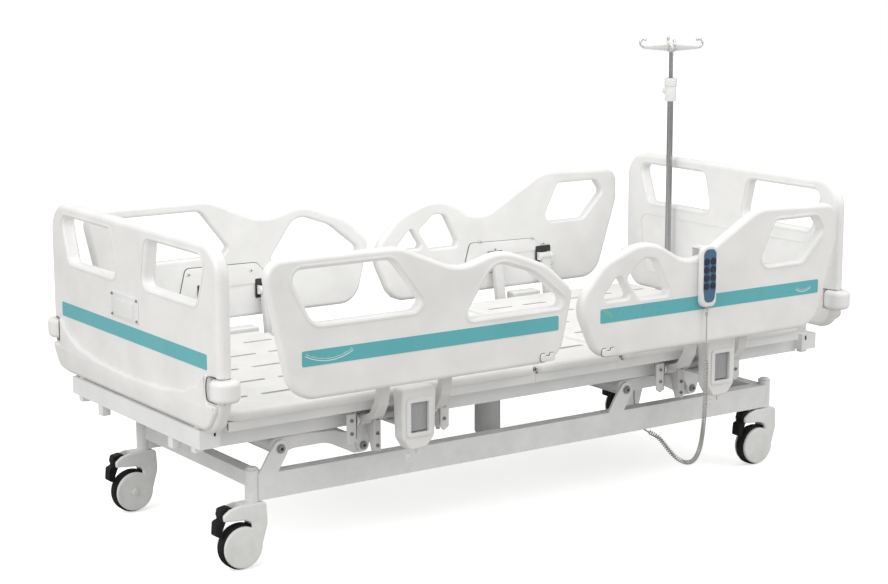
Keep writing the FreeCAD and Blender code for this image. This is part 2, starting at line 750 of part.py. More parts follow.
def hinge_bores(x):
    bore = bar("Y", x, "section_outside - hinge_leaf - 2", HINGE_LEVEL, "hinge_pin + fit", "hinge_leaf + 4")
    return both_sides(bore)


def section_frames():
    leaf_end = "hinge_radius + 1"
    crank_bar = "back_hinge + section_width + leaf_end_space"
    back = side_members(f"back_hinge + {leaf_end}", f"{HEAD_END} - frame_inset")
    back += both_sides(hinge_side("back_hinge", False, "1", False))
    back += [section_cross(crank_bar), section_cross("back_hinge + back_middle"),
             section_cross(f"{HEAD_END} - frame_inset - section_width")]
    back += drive_crank(*BACK_PIN, crank_bar, "back_drive_place")
    node("back_frame", cut(fuse(back), hinge_bores("back_hinge")))

    crank_bar = "-thigh_hinge - 2 * section_width - leaf_end_space"
    thigh = side_members("-knee_hinge + knee_room", f"-thigh_hinge - ({leaf_end})")
    thigh += both_sides(hinge_side("-thigh_hinge", False, "-1", False))
    thigh += both_sides(knee_side(True, "1", True))
    thigh += [section_cross(crank_bar), section_cross("-knee_hinge + knee_bar_space")]
    thigh += drive_crank(*THIGH_PIN, crank_bar, "thigh_drive_place")
    node("thigh_frame", cut(fuse(thigh), hinge_bores("-thigh_hinge")))

    calf = side_members(f"-{FOOT_END} + frame_inset", "-knee_hinge - knee_room")
    calf += both_sides(knee_side(False, "-1", False))
    calf += [section_cross(f"-{FOOT_END} + frame_inset"), section_cross("-knee_hinge - knee_bar_space - section_width"),
             section_cross("-knee_hinge - calf_middle")]
    node("calf_frame", cut(fuse(calf), hinge_bores("-knee_hinge")))


def drive_crank(pin_x, pin_z, bar_x, side):
    """Two plates from a section's cross tube down to its drive pin."""
    space = "(eye_thickness / 2 + eye_side)"
    bar_z = "deck_top - deck_thickness - crank_boss - 5"
    middle = f"({bar_x}) + section_width / 2"
    return crank_plates(middle, bar_z, pin_x, pin_z, side)[:-1] + [
        bar("Y", pin_x, f"{side} - {space} - crank_plate", pin_z, "crank_pin",
            "eye_thickness + 2 * eye_side + 2 * crank_plate")]


# Upper frame: side and end beams, seat frame, drive and rail mounts, upper lift brackets, pole socket
def upper_frame():
    beam_bottom = "side_beam_top - side_beam_height"
    beam_end = "board_span / 2 - end_beam_depth"
    shapes = both_sides(tube_along(f"-({beam_end}) - wall", "side_beam_outside - side_beam_width", beam_bottom,
                                   f"2 * ({beam_end} + wall)", "side_beam_width", "side_beam_height"))
    for x in ("-board_span / 2", beam_end):
        shapes.append(tube_across(x, "end_beam_top - end_beam_height", "end_beam_depth", "end_beam_width",
                                  "end_beam_height"))
        for plug in both_sides(box(x, "end_beam_width / 2 - 4", "end_beam_top - end_beam_height",
                                   "end_beam_depth", "6", "end_beam_height")):
            shapes.append(plug)
        sockets = both_sides(bar("Z", f"{x} + board_thickness / 2" if x[0] == "-" else BOARD_MIDDLE, "post_place",
                                 "end_beam_top - end_beam_height", "post_radius + wall", "end_beam_height"))
        shapes += sockets
    for x in CROSSES:
        shapes.append(tube_across(x, "cross_bottom", "cross_width", "2 * (side_beam_outside - side_beam_width / 2)",
                                  "cross_height"))
    seat_low = "-thigh_hinge + hinge_radius + 1"
    seat_high = "back_hinge - hinge_radius - 1"
    shapes += side_members(seat_low, seat_high)
    shapes += [section_cross(f"{seat_low} + seat_bar_space"), section_cross(f"{seat_high} - seat_bar_space - section_width")]
    for x in (f"{seat_low} + seat_bar_space", f"{seat_high} - seat_bar_space - section_width"):
        shapes += both_sides(box(x, "side_beam_outside - side_beam_width", "side_beam_top", "section_width",
                                 "side_beam_width", "deck_top - deck_thickness - section_height - side_beam_top + wall"))
    shapes += both_sides(hinge_side("-thigh_hinge", True, "1", True))
    shapes += both_sides(hinge_side("back_hinge", True, "-1", True))
    for place in LIFTS.values():
        shapes += both_sides(upper_ear(place))
    for mount in RAILS.values():
        bracket = box(f"{mount} - cover_width / 4", "side_beam_outside - wall", beam_bottom, "cover_width / 2",
                      "cover_front - cover_depth - side_beam_outside + wall - fit", "cover_bracket")
        shapes += both_sides(bracket)
        for sign in "+-":
            start = f"{mount} {sign} (arm_spacing / 2 + bearing_offset)" + (" - bearing_plate" if sign == "-" else "")
            plate = box(start, "side_beam_outside - wall", beam_bottom, "bearing_plate",
                        "arm_pivot_place - side_beam_outside + wall", "side_beam_height - 10")
            ring = bar("X", start, "arm_pivot_place", "arm_pivot_level", "arm_shaft + 5", "bearing_plate")
            shapes += both_sides(plate) + both_sides(ring)
    socket = bar("Z", POLE_PLACE, "pole_side", "pole_bottom - 6", "pole_radius + 6", "socket_height")
    reach = box(POLE_PLACE, "pole_side - 12", "end_beam_top - end_beam_height + 2", f"{beam_end} - {POLE_PLACE} + wall",
                "24", "30")
    shapes += [socket, reach]
    bores = [bar("Z", POLE_PLACE, "pole_side", "pole_bottom", "pole_radius + fit", "socket_height + 4")]
    spare = bar("Z", POLE_PLACE, "-pole_side", "pole_bottom - 6", "pole_radius + 6", "socket_height")
    spare_reach = box(POLE_PLACE, "-pole_side - 12", "end_beam_top - end_beam_height + 2",
                      f"{beam_end} - {POLE_PLACE} + wall", "24", "30")
    shapes += [spare, spare_reach]
    bores.append(bar("Z", POLE_PLACE, "-pole_side", "pole_bottom", "pole_radius + fit", "socket_height + 4"))
    for x in (f"-{BOARD_MIDDLE}", BOARD_MIDDLE):
        bores += both_sides(bar("Z", x, "post_place", "end_beam_top - post_depth - 1", "post_radius + fit",
                                "post_depth + 2"))
    for mount in RAILS.values():
        bores += both_sides(bar("X", f"{mount} - arm_spacing", "arm_pivot_place", "arm_pivot_level",
                                "arm_shaft + fit", "2 * arm_spacing"))
    return node("upper_frame", cut(fuse(shapes), bores))


# Side rails: four moulded panels on two bent arms each, with a latch cover and a release paddle
RAILS = {"foot": "foot_rail_mount", "head": "head_rail_mount"}
CROSSES = ["-end_cross", "back_cross", "thigh_cross", "control_cross", "head_cross"]
FOOT_OUTLINE = [
    (-986, 862, 48), (-575, 862, 110), (-385, 784, 150), (-245, 824, 150), (-95, 768, 150), (0, 688, 42),
    (-48, 490, 75), (-902, 490, 85),
]
FOOT_WINDOWS = [
    [(-914, 830, 26), (-600, 830, 42), (-506, 710, 14), (-530, 688, 14), (-838, 688, 45)],
    [(-374, 645, 18), (-268, 792, 55), (-140, 748, 120), (-36, 664, 18), (-52, 645, 12)],
]
HEAD_OUTLINE = [
    (10, 640, 90), (110, 750, 120), (268, 808, 150), (430, 714, 120), (690, 858, 130), (1012, 846, 48),
    (1012, 738, 90), (928, 476, 85), (86, 476, 80),
]
HEAD_WINDOWS = [
    [(94, 642, 12), (160, 712, 12), (206, 642, 10)],
    [(190, 700, 12), (252, 750, 34), (296, 742, 24), (342, 652, 12), (338, 636, 6), (234, 636, 18)],
    [(757, 812, 18), (920, 812, 26), (950, 770, 16), (866, 684, 22), (692, 684, 26)],
]


def rail_panel(end, outline, windows, mount):
    """A far side rail panel with two lugs and their pins for the arms."""
    corners = [[(f"{mount} + ({x - MOUNT_X[end]})", f"rail_pivot_level + ({z - 572})", str(r)) for x, z, r in ring]
               for ring in [outline] + windows]
    panel = soften(slab(f"rail_slab_{end}", "XZ_Plane", corners, "rail_thickness"), Vector(0, 1, 0), "rail_round",
                   "rail_window_round")
    put(panel, y="rail_outside - rail_thickness / 2")
    inner = "rail_outside - rail_thickness"
    shapes = [panel]
    for sign in "+-":
        arm_x = f"({mount} {sign} arm_spacing / 2)"
        for lug_start in (f"{arm_x} + arm_width / 2 + lug_side", f"{arm_x} - arm_width / 2 - lug_side - lug_thickness"):
            shapes.append(box(lug_start, "rail_pivot_place", "rail_pivot_level - arm_boss", "lug_thickness",
                              f"{inner} - rail_pivot_place + 2", "2 * arm_boss"))
            shapes.append(bar("X", lug_start, "rail_pivot_place", "rail_pivot_level", "arm_boss", "lug_thickness"))
        shapes.append(bar("X", f"{arm_x} - arm_width / 2 - lug_side - lug_thickness", "rail_pivot_place",
                          "rail_pivot_level", "arm_pin", "arm_width + 2 * lug_side + 2 * lug_thickness"))
    return fuse(shapes)


MOUNT_X = {"foot": -490, "head": 590}


def rail_arms(mount):
    """Two bent arms on one shaft, drawn for the far side."""
    bends = [("0", "0"), ("62", "22"), ("88", "60"), ("96", "110")]
    top = ("rail_pivot_place - arm_pivot_place", "rail_pivot_level - arm_pivot_level")
    inside = [("-2", "9"), ("52", "28"), ("78", "64"), ("86", "112")]
    outside = [("2", "-9"), ("74", "16"), ("100", "58"), ("108", "108")]
    ring = [(f"arm_pivot_place + ({y})", f"arm_pivot_level + ({z})", "3" if z in ("9", "-9") else "26")
            for y, z in outside]
    ring += [(f"rail_pivot_place + 8", "rail_pivot_level - 1", "3"), ("rail_pivot_place - 8", "rail_pivot_level + 1", "3")]
    ring += [(f"arm_pivot_place + ({y})", f"arm_pivot_level + ({z})", "3" if z in ("9", "-9") else "26")
             for y, z in reversed(inside)]
    shapes = []
    for sign in "+-":
        blade = soften(slab("rail_arm", "YZ_Plane", [ring], "arm_width"), Vector(1, 0, 0), "2.5")
        put(blade, x=f"{mount} {sign} arm_spacing / 2")
        boss = bar("X", f"{mount} {sign} arm_spacing / 2 - arm_width / 2", "rail_pivot_place", "rail_pivot_level",
                   "arm_boss", "arm_width")
        shapes += [blade, boss]
    shaft_end = "arm_spacing / 2 + bearing_offset + bearing_plate + 3"
    shaft = bar("X", f"{mount} - ({shaft_end})", "arm_pivot_place", "arm_pivot_level", "arm_shaft",
                f"2 * ({shaft_end})")
    hub_shapes = [bar("X", f"{mount} {sign} arm_spacing / 2 - arm_width / 2", "arm_pivot_place", "arm_pivot_level",
                      "arm_shaft + 5", "arm_width") for sign in "+-"]
    bores = [bar("X", f"{mount} {sign} arm_spacing / 2 - arm_width", "rail_pivot_place", "rail_pivot_level",
                 "arm_pin + fit", "2 * arm_width") for sign in "+-"]
    return cut(fuse(shapes + [shaft] + hub_shapes), bores)


def latch_cover(mount):
    outline = [
        (f"{mount} - cover_width / 2", "cover_top", "8"), (f"{mount} + cover_width / 2", "cover_top", "8"),
        (f"{mount} + cover_width / 2 - 4", "cover_bottom + 34", "18"),
        (f"{mount} + cover_width / 2 - 30", "cover_bottom + 4", "16"),
        (f"{mount} - cover_width / 2 + 26", "cover_bottom", "16"),
        (f"{mount} - cover_width / 2 + 4", "cover_bottom + 34", "18"),
    ]
    body = soften(slab("latch_cover", "XZ_Plane", [outline], "cover_depth"), Vector(0, 1, 0), "6")
    put(body, y="cover_front - cover_depth / 2")
    window = box(f"{mount} - cover_window_width / 2", "cover_front - cover_window_depth",
                 "cover_window_top - cover_window_height", "cover_window_width", "cover_window_depth + 5",
                 "cover_window_height")
    pin = bar("X", f"{mount} - cover_window_width / 2 - 5", "cover_front - paddle_inset - paddle_thickness / 2",
              "cover_window_top - paddle_pin - 3", "paddle_pin + fit", "cover_window_width + 10")
    tab = box(f"{mount} + 4", "cover_front - cover_depth / 2 - 3", "cover_bottom - 18", "16", "6", "26")
    return cut(fuse([body, tab]), [window, pin])


def release_paddle(mount):
    back = "cover_front - paddle_inset - paddle_thickness"
    top = "cover_window_top - paddle_pin - 3"
    width = "cover_window_width - 2 * paddle_side"
    plate = box(f"{mount} - ({width}) / 2", back, "cover_window_top - cover_window_height + 3", width,
                "paddle_thickness", f"{top} - (cover_window_top - cover_window_height + 3)")
    plate = rounded(plate, "2", lambda edge: edge.CenterOfMass.y > number(f"{back} + paddle_thickness - 0.1"))
    knuckle = bar("X", f"{mount} - ({width}) / 2", f"{back} + paddle_thickness / 2", top, "paddle_thickness / 2", width)
    pin = bar("X", f"{mount} - cover_window_width / 2 - 4.5", f"{back} + paddle_thickness / 2", top, "paddle_pin",
              "cover_window_width + 9")
    return fuse([plate, knuckle, pin])


def side_rails():
    covers = []
    for end, mount in RAILS.items():
        outline, windows = (FOOT_OUTLINE, FOOT_WINDOWS) if end == "foot" else (HEAD_OUTLINE, HEAD_WINDOWS)
        pieces = {
            "rail_panel": rail_panel(end, outline, windows, mount),
            "rail_arms": rail_arms(mount),
            "release_paddle": release_paddle(mount),
        }
        for name, piece in pieces.items():
            node(f"{name}_far_{end}", piece)
            node(f"{name}_near_{end}", mirrored(piece))
        covers += both_sides(latch_cover(mount))
    group = doc.addObject("Part::Compound", "covers")
    group.Links = covers
    node("latch_covers", group)


# End boards with their windows, posts and corner roller pins
def end_board(label, bottom, sign):
    half = "board_width / 2"
    outline = [
        (f"-{half}", "board_top", "board_corner_top"), (half, "board_top", "board_corner_top"),
        (half, "roller_level - roller_height / 2 - 12", "60"),
        (f"{half} - board_foot_inset", bottom, "board_corner_bottom - 30"),
        (f"-{half} + board_foot_inset", bottom, "board_corner_bottom - 30"),
        (f"-{half}", "roller_level - roller_height / 2 - 12", "60"),
    ]
    rings = [outline]
    for side in ("", "-"):
        rings.append([
            (f"{side}window_inner_top", "window_top", "window_corner"),
            (f"{side}window_outer_top", "window_top", "window_corner"),
            (f"{side}window_outer_bottom", "window_bottom", "window_corner"),
            (f"{side}window_inner_bottom", "window_bottom", "window_corner"),
        ])
    board = soften(slab(label + "_slab", "YZ_Plane", rings, "board_thickness"), Vector(1, 0, 0), "board_edge_round",
                   "window_round")
    middle = f"{sign}{BOARD_MIDDLE}"
    put(board, x=middle)
    space = "roller_height / 2 + roller_space"
    inside = "board_width / 2 - roller_inset - roller_radius - roller_space"
    recess = box(f"{middle} - board_thickness", inside, f"roller_level - ({space})", "2 * board_thickness", "100",
                 f"2 * ({space})")
    shell = cut(board, both_sides(recess))
    pin = bar("Z", middle, "board_width / 2 - roller_inset", f"roller_level - ({space}) - 4", "roller_axle",
              f"2 * ({space}) + 8")
    post = bar("Z", middle, "post_place", "end_beam_top - post_depth", "post_radius",
               f"{bottom} - end_beam_top + post_depth + 20")
    return node(label, fuse([shell] + both_sides(pin) + both_sides(post)))


def rollers():
    wheel = bar("Z", "0", "0", "-roller_height / 2", "roller_radius", "roller_height")
    wheel = rounded(wheel, "roller_round", lambda edge: edge.Curve.TypeId == "Part::GeomCircle")
    bore = bar("Z", "0", "0", "-roller_height", "roller_axle + fit", "2 * roller_height")
    roller = cut(wheel, [bore])
    for end, sign in (("foot", "-"), ("head", "")):
        for side, turn in (("near", "-"), ("far", "")):
            node(f"corner_roller_{side}_{end}", copy_of(roller, f"{sign}{BOARD_MIDDLE}",
                                                       f"{turn}(board_width / 2 - roller_inset)", "roller_level"))


# Drip pole: a tube that turns in its socket, and a rod with four hooks that slides in it
def drip_pole():
    tube = bar("Z", POLE_PLACE, "pole_side", "pole_bottom + gap", "pole_radius",
               "pole_tube_top - pole_bottom - gap")
    clamp = bar("Z", POLE_PLACE, "pole_side", "pole_tube_top - 62", "pole_radius + 7", "74")
    clamp = rounded(clamp, "5", lambda edge: edge.Curve.TypeId == "Part::GeomCircle")
    knob = bar("Y", POLE_PLACE, "pole_side + pole_radius + 4", "pole_tube_top - 30", "11", "16")
    bore = bar("Z", POLE_PLACE, "pole_side", "pole_bottom + 40", "pole_radius - pole_wall + fit",
               "pole_top - pole_bottom")
    node("drip_pole_tube", cut(fuse([tube, clamp, knob]), [bore]))
    rod = bar("Z", POLE_PLACE, "pole_side", "pole_rod_bottom", "pole_radius - pole_wall",
              "pole_top - pole_rod_bottom")
    hub = bar("Z", POLE_PLACE, "pole_side", "pole_top - 26", "pole_radius + 3", "26")
    hub = rounded(hub, "4", lambda edge: edge.Curve.TypeId == "Part::GeomCircle")
    shapes = [rod, hub]
    for quarter in range(4):
        angle = number("pole_turn") + 90 * quarter
        shapes.append(hook(angle))
    return node("drip_pole_rod", fuse(shapes))


def hook(angle):
    """One arm with an open curl at its end, turned about the pole."""
    reach, wire, level = number("hook_reach"), number("hook_wire"), number("pole_top") - 13
    corners = [(6 - reach, 0), (-55, 0), (-21, -1), (-7, 4), (-1, 17), (-8, 29), (-19, 27)]
    path = rounded_route([Vector(reach + x, 0, level + z) for x, z in corners])[0]
    ring = Part.Wire([Part.Circle(Vector(6, 0, level), Vector(1, 0, 0), wire).toShape()])
    piece = doc.addObject("Part::Feature", "hook")
    piece.Shape = path.makePipeShell([ring], True, False, 1)
    piece.Placement = FreeCAD.Placement(Vector(number(POLE_PLACE), number("pole_side"), 0),
                                        Rotation(Vector(0, 0, 1), angle))
    tip = doc.addObject("Part::Sphere", "hook_tip")
    tip.Radius = wire * 1.3
    tip.Placement = FreeCAD.Placement(piece.Placement.multVec(Vector(reach - 19, 0, level + 27)), Rotation())
    return fuse([piece, tip])


# Handset on a clip over the near head rail, with eight sprung buttons
def handset():
    left = "handset_place - handset_width / 2"
    outline = [
        (left, "handset_bottom", "handset_corner"), (f"{left} + handset_width", "handset_bottom", "handset_corner"),
        (f"{left} + handset_width", "handset_bottom + handset_height", "handset_corner + 4"),
        (left, "handset_bottom + handset_height", "handset_corner + 4"),
    ]
    case = soften(slab("handset_case", "XZ_Plane", [outline], "handset_thickness"), Vector(0, 1, 0), "handset_round")
    back = "rail_outside + handset_gap"
    put(case, y=f"-({back}) - handset_thickness / 2")
    clip_x = "handset_place - clip_width / 2"
    inner = "rail_outside - rail_thickness - clip_gap"
    over = box(clip_x, f"-({back}) - 4", "clip_level", "clip_width", f"{back} + 4 - ({inner}) + clip_thickness",
               "clip_thickness")
    down = box(clip_x, f"-({inner})", "clip_level - clip_drop", "clip_width", "clip_thickness", "clip_drop + clip_thickness")
    relief = bar("Z", "handset_place", LEAD_Y, "handset_bottom - relief_length", "lead_radius + 2", "relief_length + 3")
    bores = [bar("Y", f"handset_place {sign} button_column / 2", f"-({back}) - handset_thickness - 1",
                 f"button_bottom + {line} * button_row", "button_radius + gap", "button_height + button_travel + 1")
             for line in range(4) for sign in "+-"]
    node("handset", cut(fuse([case, over, down, relief]), bores))
    for line in range(4):
        for side, sign in (("left", "-"), ("right", "+")):
            button = bar("Y", f"handset_place {sign} button_column / 2",
                         f"-({back}) - handset_thickness - button_proud", f"button_bottom + {line} * button_row",
                         "button_radius", "button_height")
            face = number(f"-({back}) - handset_thickness - button_proud")
            button = rounded(button, "1.2", lambda edge: edge.Curve.TypeId == "Part::GeomCircle"
                             and abs(edge.CenterOfMass.y - face) < 0.1)
            node(f"handset_button_{side}_{line + 1}", button)


LEAD_Y = "-(rail_outside + handset_gap + handset_thickness / 2)"
LEAD_POINTS = [(478, -559, 573.5), (478.5, -559.5, 556), (479, -560, 418), (480, -559, 398)]
COIL_POINTS = [(482, -557, 362), (485, -553, 312), (489, -546, 262), (496, -534, 212), (505, -517, 166),
               (514, -494, 126), (520, -466, 96), (519, -434, 84), (507, -402, 95), (491, -378, 124), (478, -362, 150)]
TAIL_POINTS = [(470, -350, 160), (462, -331, 166), (456, -308, 172), (452, -290, 188), (450, -279, 216),
               (449, -273, 252), (449, -271, 286), (449, -271, 318)]


def rounded_route(points):
    """Straight runs joined by tangent arcs, each as large as its two runs allow."""
    edges, start, radii = [], points[0], []
    for index in range(1, len(points) - 1):
        here = points[index]
        back, ahead = points[index - 1] - here, points[index + 1] - here
        half = math.pi / 2 - back.getAngle(ahead) / 2
        reach = 0.45 * min(back.Length, ahead.Length)
        radii.append(reach / math.tan(half))
        first, last = here + back.normalize() * reach, here + ahead.normalize() * reach
        inward = (first + last) * 0.5 - here
        centre = here + inward.normalize() * (radii[-1] / math.cos(half))
        middle = centre + (here - centre).normalize() * radii[-1]
        edges += [Part.LineSegment(start, first).toShape(), Part.Arc(first, middle, last).toShape()]
        start = last
    edges.append(Part.LineSegment(start, points[-1]).toShape())
    return Part.Wire(edges), radii


def cord_tube(name, points, radius):
    path, radii = rounded_route([Vector(*point) for point in points])
    start = path.Edges[0]
    ring = Part.Wire([Part.Circle(start.Vertexes[0].Point, start.tangentAt(start.FirstParameter), radius).toShape()])
    solid = path.makePipeShell([ring], True, False, 1)
    print(name, "least bend radius", round(min(radii), 1), "length", round(path.Length, 1),
          "volume over section", round(solid.Volume / (math.pi * radius ** 2), 1))
    piece = doc.addObject("Part::Feature", name)
    piece.Shape = solid
    return piece


def handset_cord():
    """The straight lead, the curly part as one fat tube, and the tail into the control box."""
    lead = cord_tube("lead", LEAD_POINTS, number("lead_radius"))
    coil = cord_tube("coil", [LEAD_POINTS[-1]] + COIL_POINTS, number("coil_radius"))
    tail = cord_tube("tail", [COIL_POINTS[-1]] + TAIL_POINTS, number("lead_radius"))
    return node("handset_cord", fuse([lead, coil, tail]))


def control_box():
    case = box("control_place", "control_side", "cross_bottom - control_height", "control_length", "control_width",
               "control_height")
    return node("control_box", rounded(case, "8", lambda edge: abs(edge.tangentAt(edge.FirstParameter).z) > 0.9))


base_frame()
casters()
for end, place in LIFTS.items():
    lift_arm(end, place)
upper_frame()
drives()
section_frames()
deck_panel("calf_panel", f"-{FOOT_END}", "-knee_hinge - knee_gap / 2", 4)
deck_panel("thigh_panel", "-knee_hinge + knee_gap / 2", "-thigh_hinge - deck_gap / 2", 2)
deck_panel("seat_panel", "-thigh_hinge + deck_gap / 2", "back_hinge - deck_gap / 2", 2)
deck_panel("back_panel", "back_hinge + deck_gap / 2", HEAD_END, 5)
side_rails()
end_board("footboard", "footboard_bottom", "-")
end_board("headboard", "headboard_bottom", "")
rollers()
drip_pole()
handset()
handset_cord()
control_box()

doc.recompute()
failed = [thing.Label for thing in doc.Objects if {"Invalid", "Error"} & set(thing.State)]
for thing in nodes:
    if thing.Shape.isNull() or not thing.Shape.isValid():
        failed.append(thing.Label)
if failed:
    raise RuntimeError(f"these objects are not sound: {failed}")
os.makedirs("parts", exist_ok=True)
for thing in nodes:
    thing.Shape.exportStep(f"parts/{thing.Label}.step")
print(len(nodes), "parts written")
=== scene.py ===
import bpy
import bmesh
import math
from mathutils import Matrix, Vector


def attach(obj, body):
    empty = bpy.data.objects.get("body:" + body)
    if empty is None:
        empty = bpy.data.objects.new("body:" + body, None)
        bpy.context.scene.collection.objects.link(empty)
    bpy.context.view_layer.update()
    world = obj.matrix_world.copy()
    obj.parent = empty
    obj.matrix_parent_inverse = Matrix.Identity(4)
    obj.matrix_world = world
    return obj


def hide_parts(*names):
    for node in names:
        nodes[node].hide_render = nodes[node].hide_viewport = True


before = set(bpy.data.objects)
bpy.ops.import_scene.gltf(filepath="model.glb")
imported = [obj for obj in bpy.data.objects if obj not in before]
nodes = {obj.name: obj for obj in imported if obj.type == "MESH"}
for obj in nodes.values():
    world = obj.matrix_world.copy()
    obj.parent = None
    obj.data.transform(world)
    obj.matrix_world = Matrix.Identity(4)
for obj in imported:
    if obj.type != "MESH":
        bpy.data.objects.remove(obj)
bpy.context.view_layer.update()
scene = bpy.context.scene


# Camera: a long lens that looks over the near corner of the foot end
cameraSettings = {"place": (-3.4293, -4.9184, 1.716), "turn": (79.43, 0.14, -34.41), "lens": 82.56,
                  "sensor": 36}


def placeCamera():
    data = bpy.data.cameras.new("bedCamera")
    data.lens = cameraSettings["lens"]
    data.sensor_width = cameraSettings["sensor"]
    camera = bpy.data.objects.new("bedCamera", data)
    camera.location = cameraSettings["place"]
    camera.rotation_euler = [math.radians(angle) for angle in cameraSettings["turn"]]
    scene.collection.objects.link(camera)
    scene.camera = camera


placeCamera()
scene.view_settings.view_transform = "Standard"
print("camera placed")


# Nodes: inputs are set, or linked where the value is another node's socket
def addNode(tree, kind, inputs):
    node = tree.nodes.new(kind)
    for label, value in inputs.items():
        if isinstance(value, bpy.types.NodeSocket):
            tree.links.new(value, node.inputs[label])
        else:
            node.inputs[label].default_value = value
    return node


# Finishes: each is built from Object coordinates, at the scale of the real surface
finishDefaults = {"mottle": 9, "scuffs": 60, "grain": 900, "bump": 0.15, "depth": 0.0004, "metal": 0.0,
                  "coat": 0.0, "coatRough": 0.12, "ior": 1.46, "dust": 0.0, "dustTop": 0.35,
                  "dustColour": (0.32, 0.30, 0.27)}


def makeFinish(name, choices):
    settings = {**finishDefaults, **choices}
    material = bpy.data.materials.new(name)
    material.use_nodes = True
    tree = material.node_tree
    shader = tree.nodes["Principled BSDF"].inputs
    link = tree.links.new
    coords = tree.nodes.new("ShaderNodeTexCoord").outputs["Object"]

    def noise(scale, detail, rough=0.5, source=coords):
        inputs = {"Vector": source, "Scale": scale, "Detail": detail, "Roughness": rough}
        return addNode(tree, "ShaderNodeTexNoise", inputs).outputs["Fac"]

    def ramp(source, low, high, start=0.35, end=0.65):
        inputs = {"Value": source, "From Min": start, "From Max": end, "To Min": low, "To Max": high}
        return addNode(tree, "ShaderNodeMapRange", inputs).outputs["Result"]

    def heightAboveFloor():
        return addNode(tree, "ShaderNodeSeparateXYZ", {"Vector": coords}).outputs["Z"]

    def mixColour(factor, first, second):
        node = addNode(tree, "ShaderNodeMix", {"Factor": factor})
        node.data_type = "RGBA"
        for socket, value in (("A", first), ("B", second)):
            target = [entry for entry in node.inputs if entry.name == socket and entry.type == "RGBA"][0]
            if isinstance(value, bpy.types.NodeSocket):
                link(value, target)
            else:
                target.default_value = (*value, 1)
        return [entry for entry in node.outputs if entry.type == "RGBA"][0]

    colour = settings["colour"]
    worn = settings.get("worn", [min(1, part * 1.06 + 0.01) for part in colour])
    base = mixColour(ramp(noise(settings["mottle"], 4), 0, 1), colour, worn)
    if "split" in settings:  # a second colour above a height
        height, upperColour = settings["split"]
        above = ramp(heightAboveFloor(), 0, 1, height - 0.0005, height + 0.0005)
        base = mixColour(above, base, upperColour)
    if settings["dust"]:  # grime that thickens towards the floor, broken up by noise
        low = ramp(heightAboveFloor(), settings["dust"], 0, 0.0, settings["dustTop"])
        patch = addNode(tree, "ShaderNodeMath", {0: low, 1: ramp(noise(28, 5, 0.65), 0.1, 1, 0.4, 0.7)})
        patch.operation = "MULTIPLY"
        base = mixColour(patch.outputs[0], base, settings["dustColour"])
    link(base, shader["Base Color"])
    link(ramp(noise(settings["scuffs"], 6, 0.7), *settings["rough"], 0.3, 0.7), shader["Roughness"])
    for label, key in (("Metallic", "metal"), ("Coat Weight", "coat"), ("Coat Roughness", "coatRough"),
                       ("IOR", "ior")):
        shader[label].default_value = settings[key]
    bump = addNode(tree, "ShaderNodeBump", {"Strength": settings["bump"], "Distance": settings["depth"]})
    if "brush" in settings:  # lines drawn along the tube
        stretch = addNode(tree, "ShaderNodeMapping", {"Scale": settings["brush"], "Vector": coords})
        link(noise(40, 3, source=stretch.outputs["Vector"]), bump.inputs["Height"])
    else:
        link(noise(settings["grain"], 2, 0.6), bump.inputs["Height"])
    link(bump.outputs["Normal"], shader["Normal"])
    return material


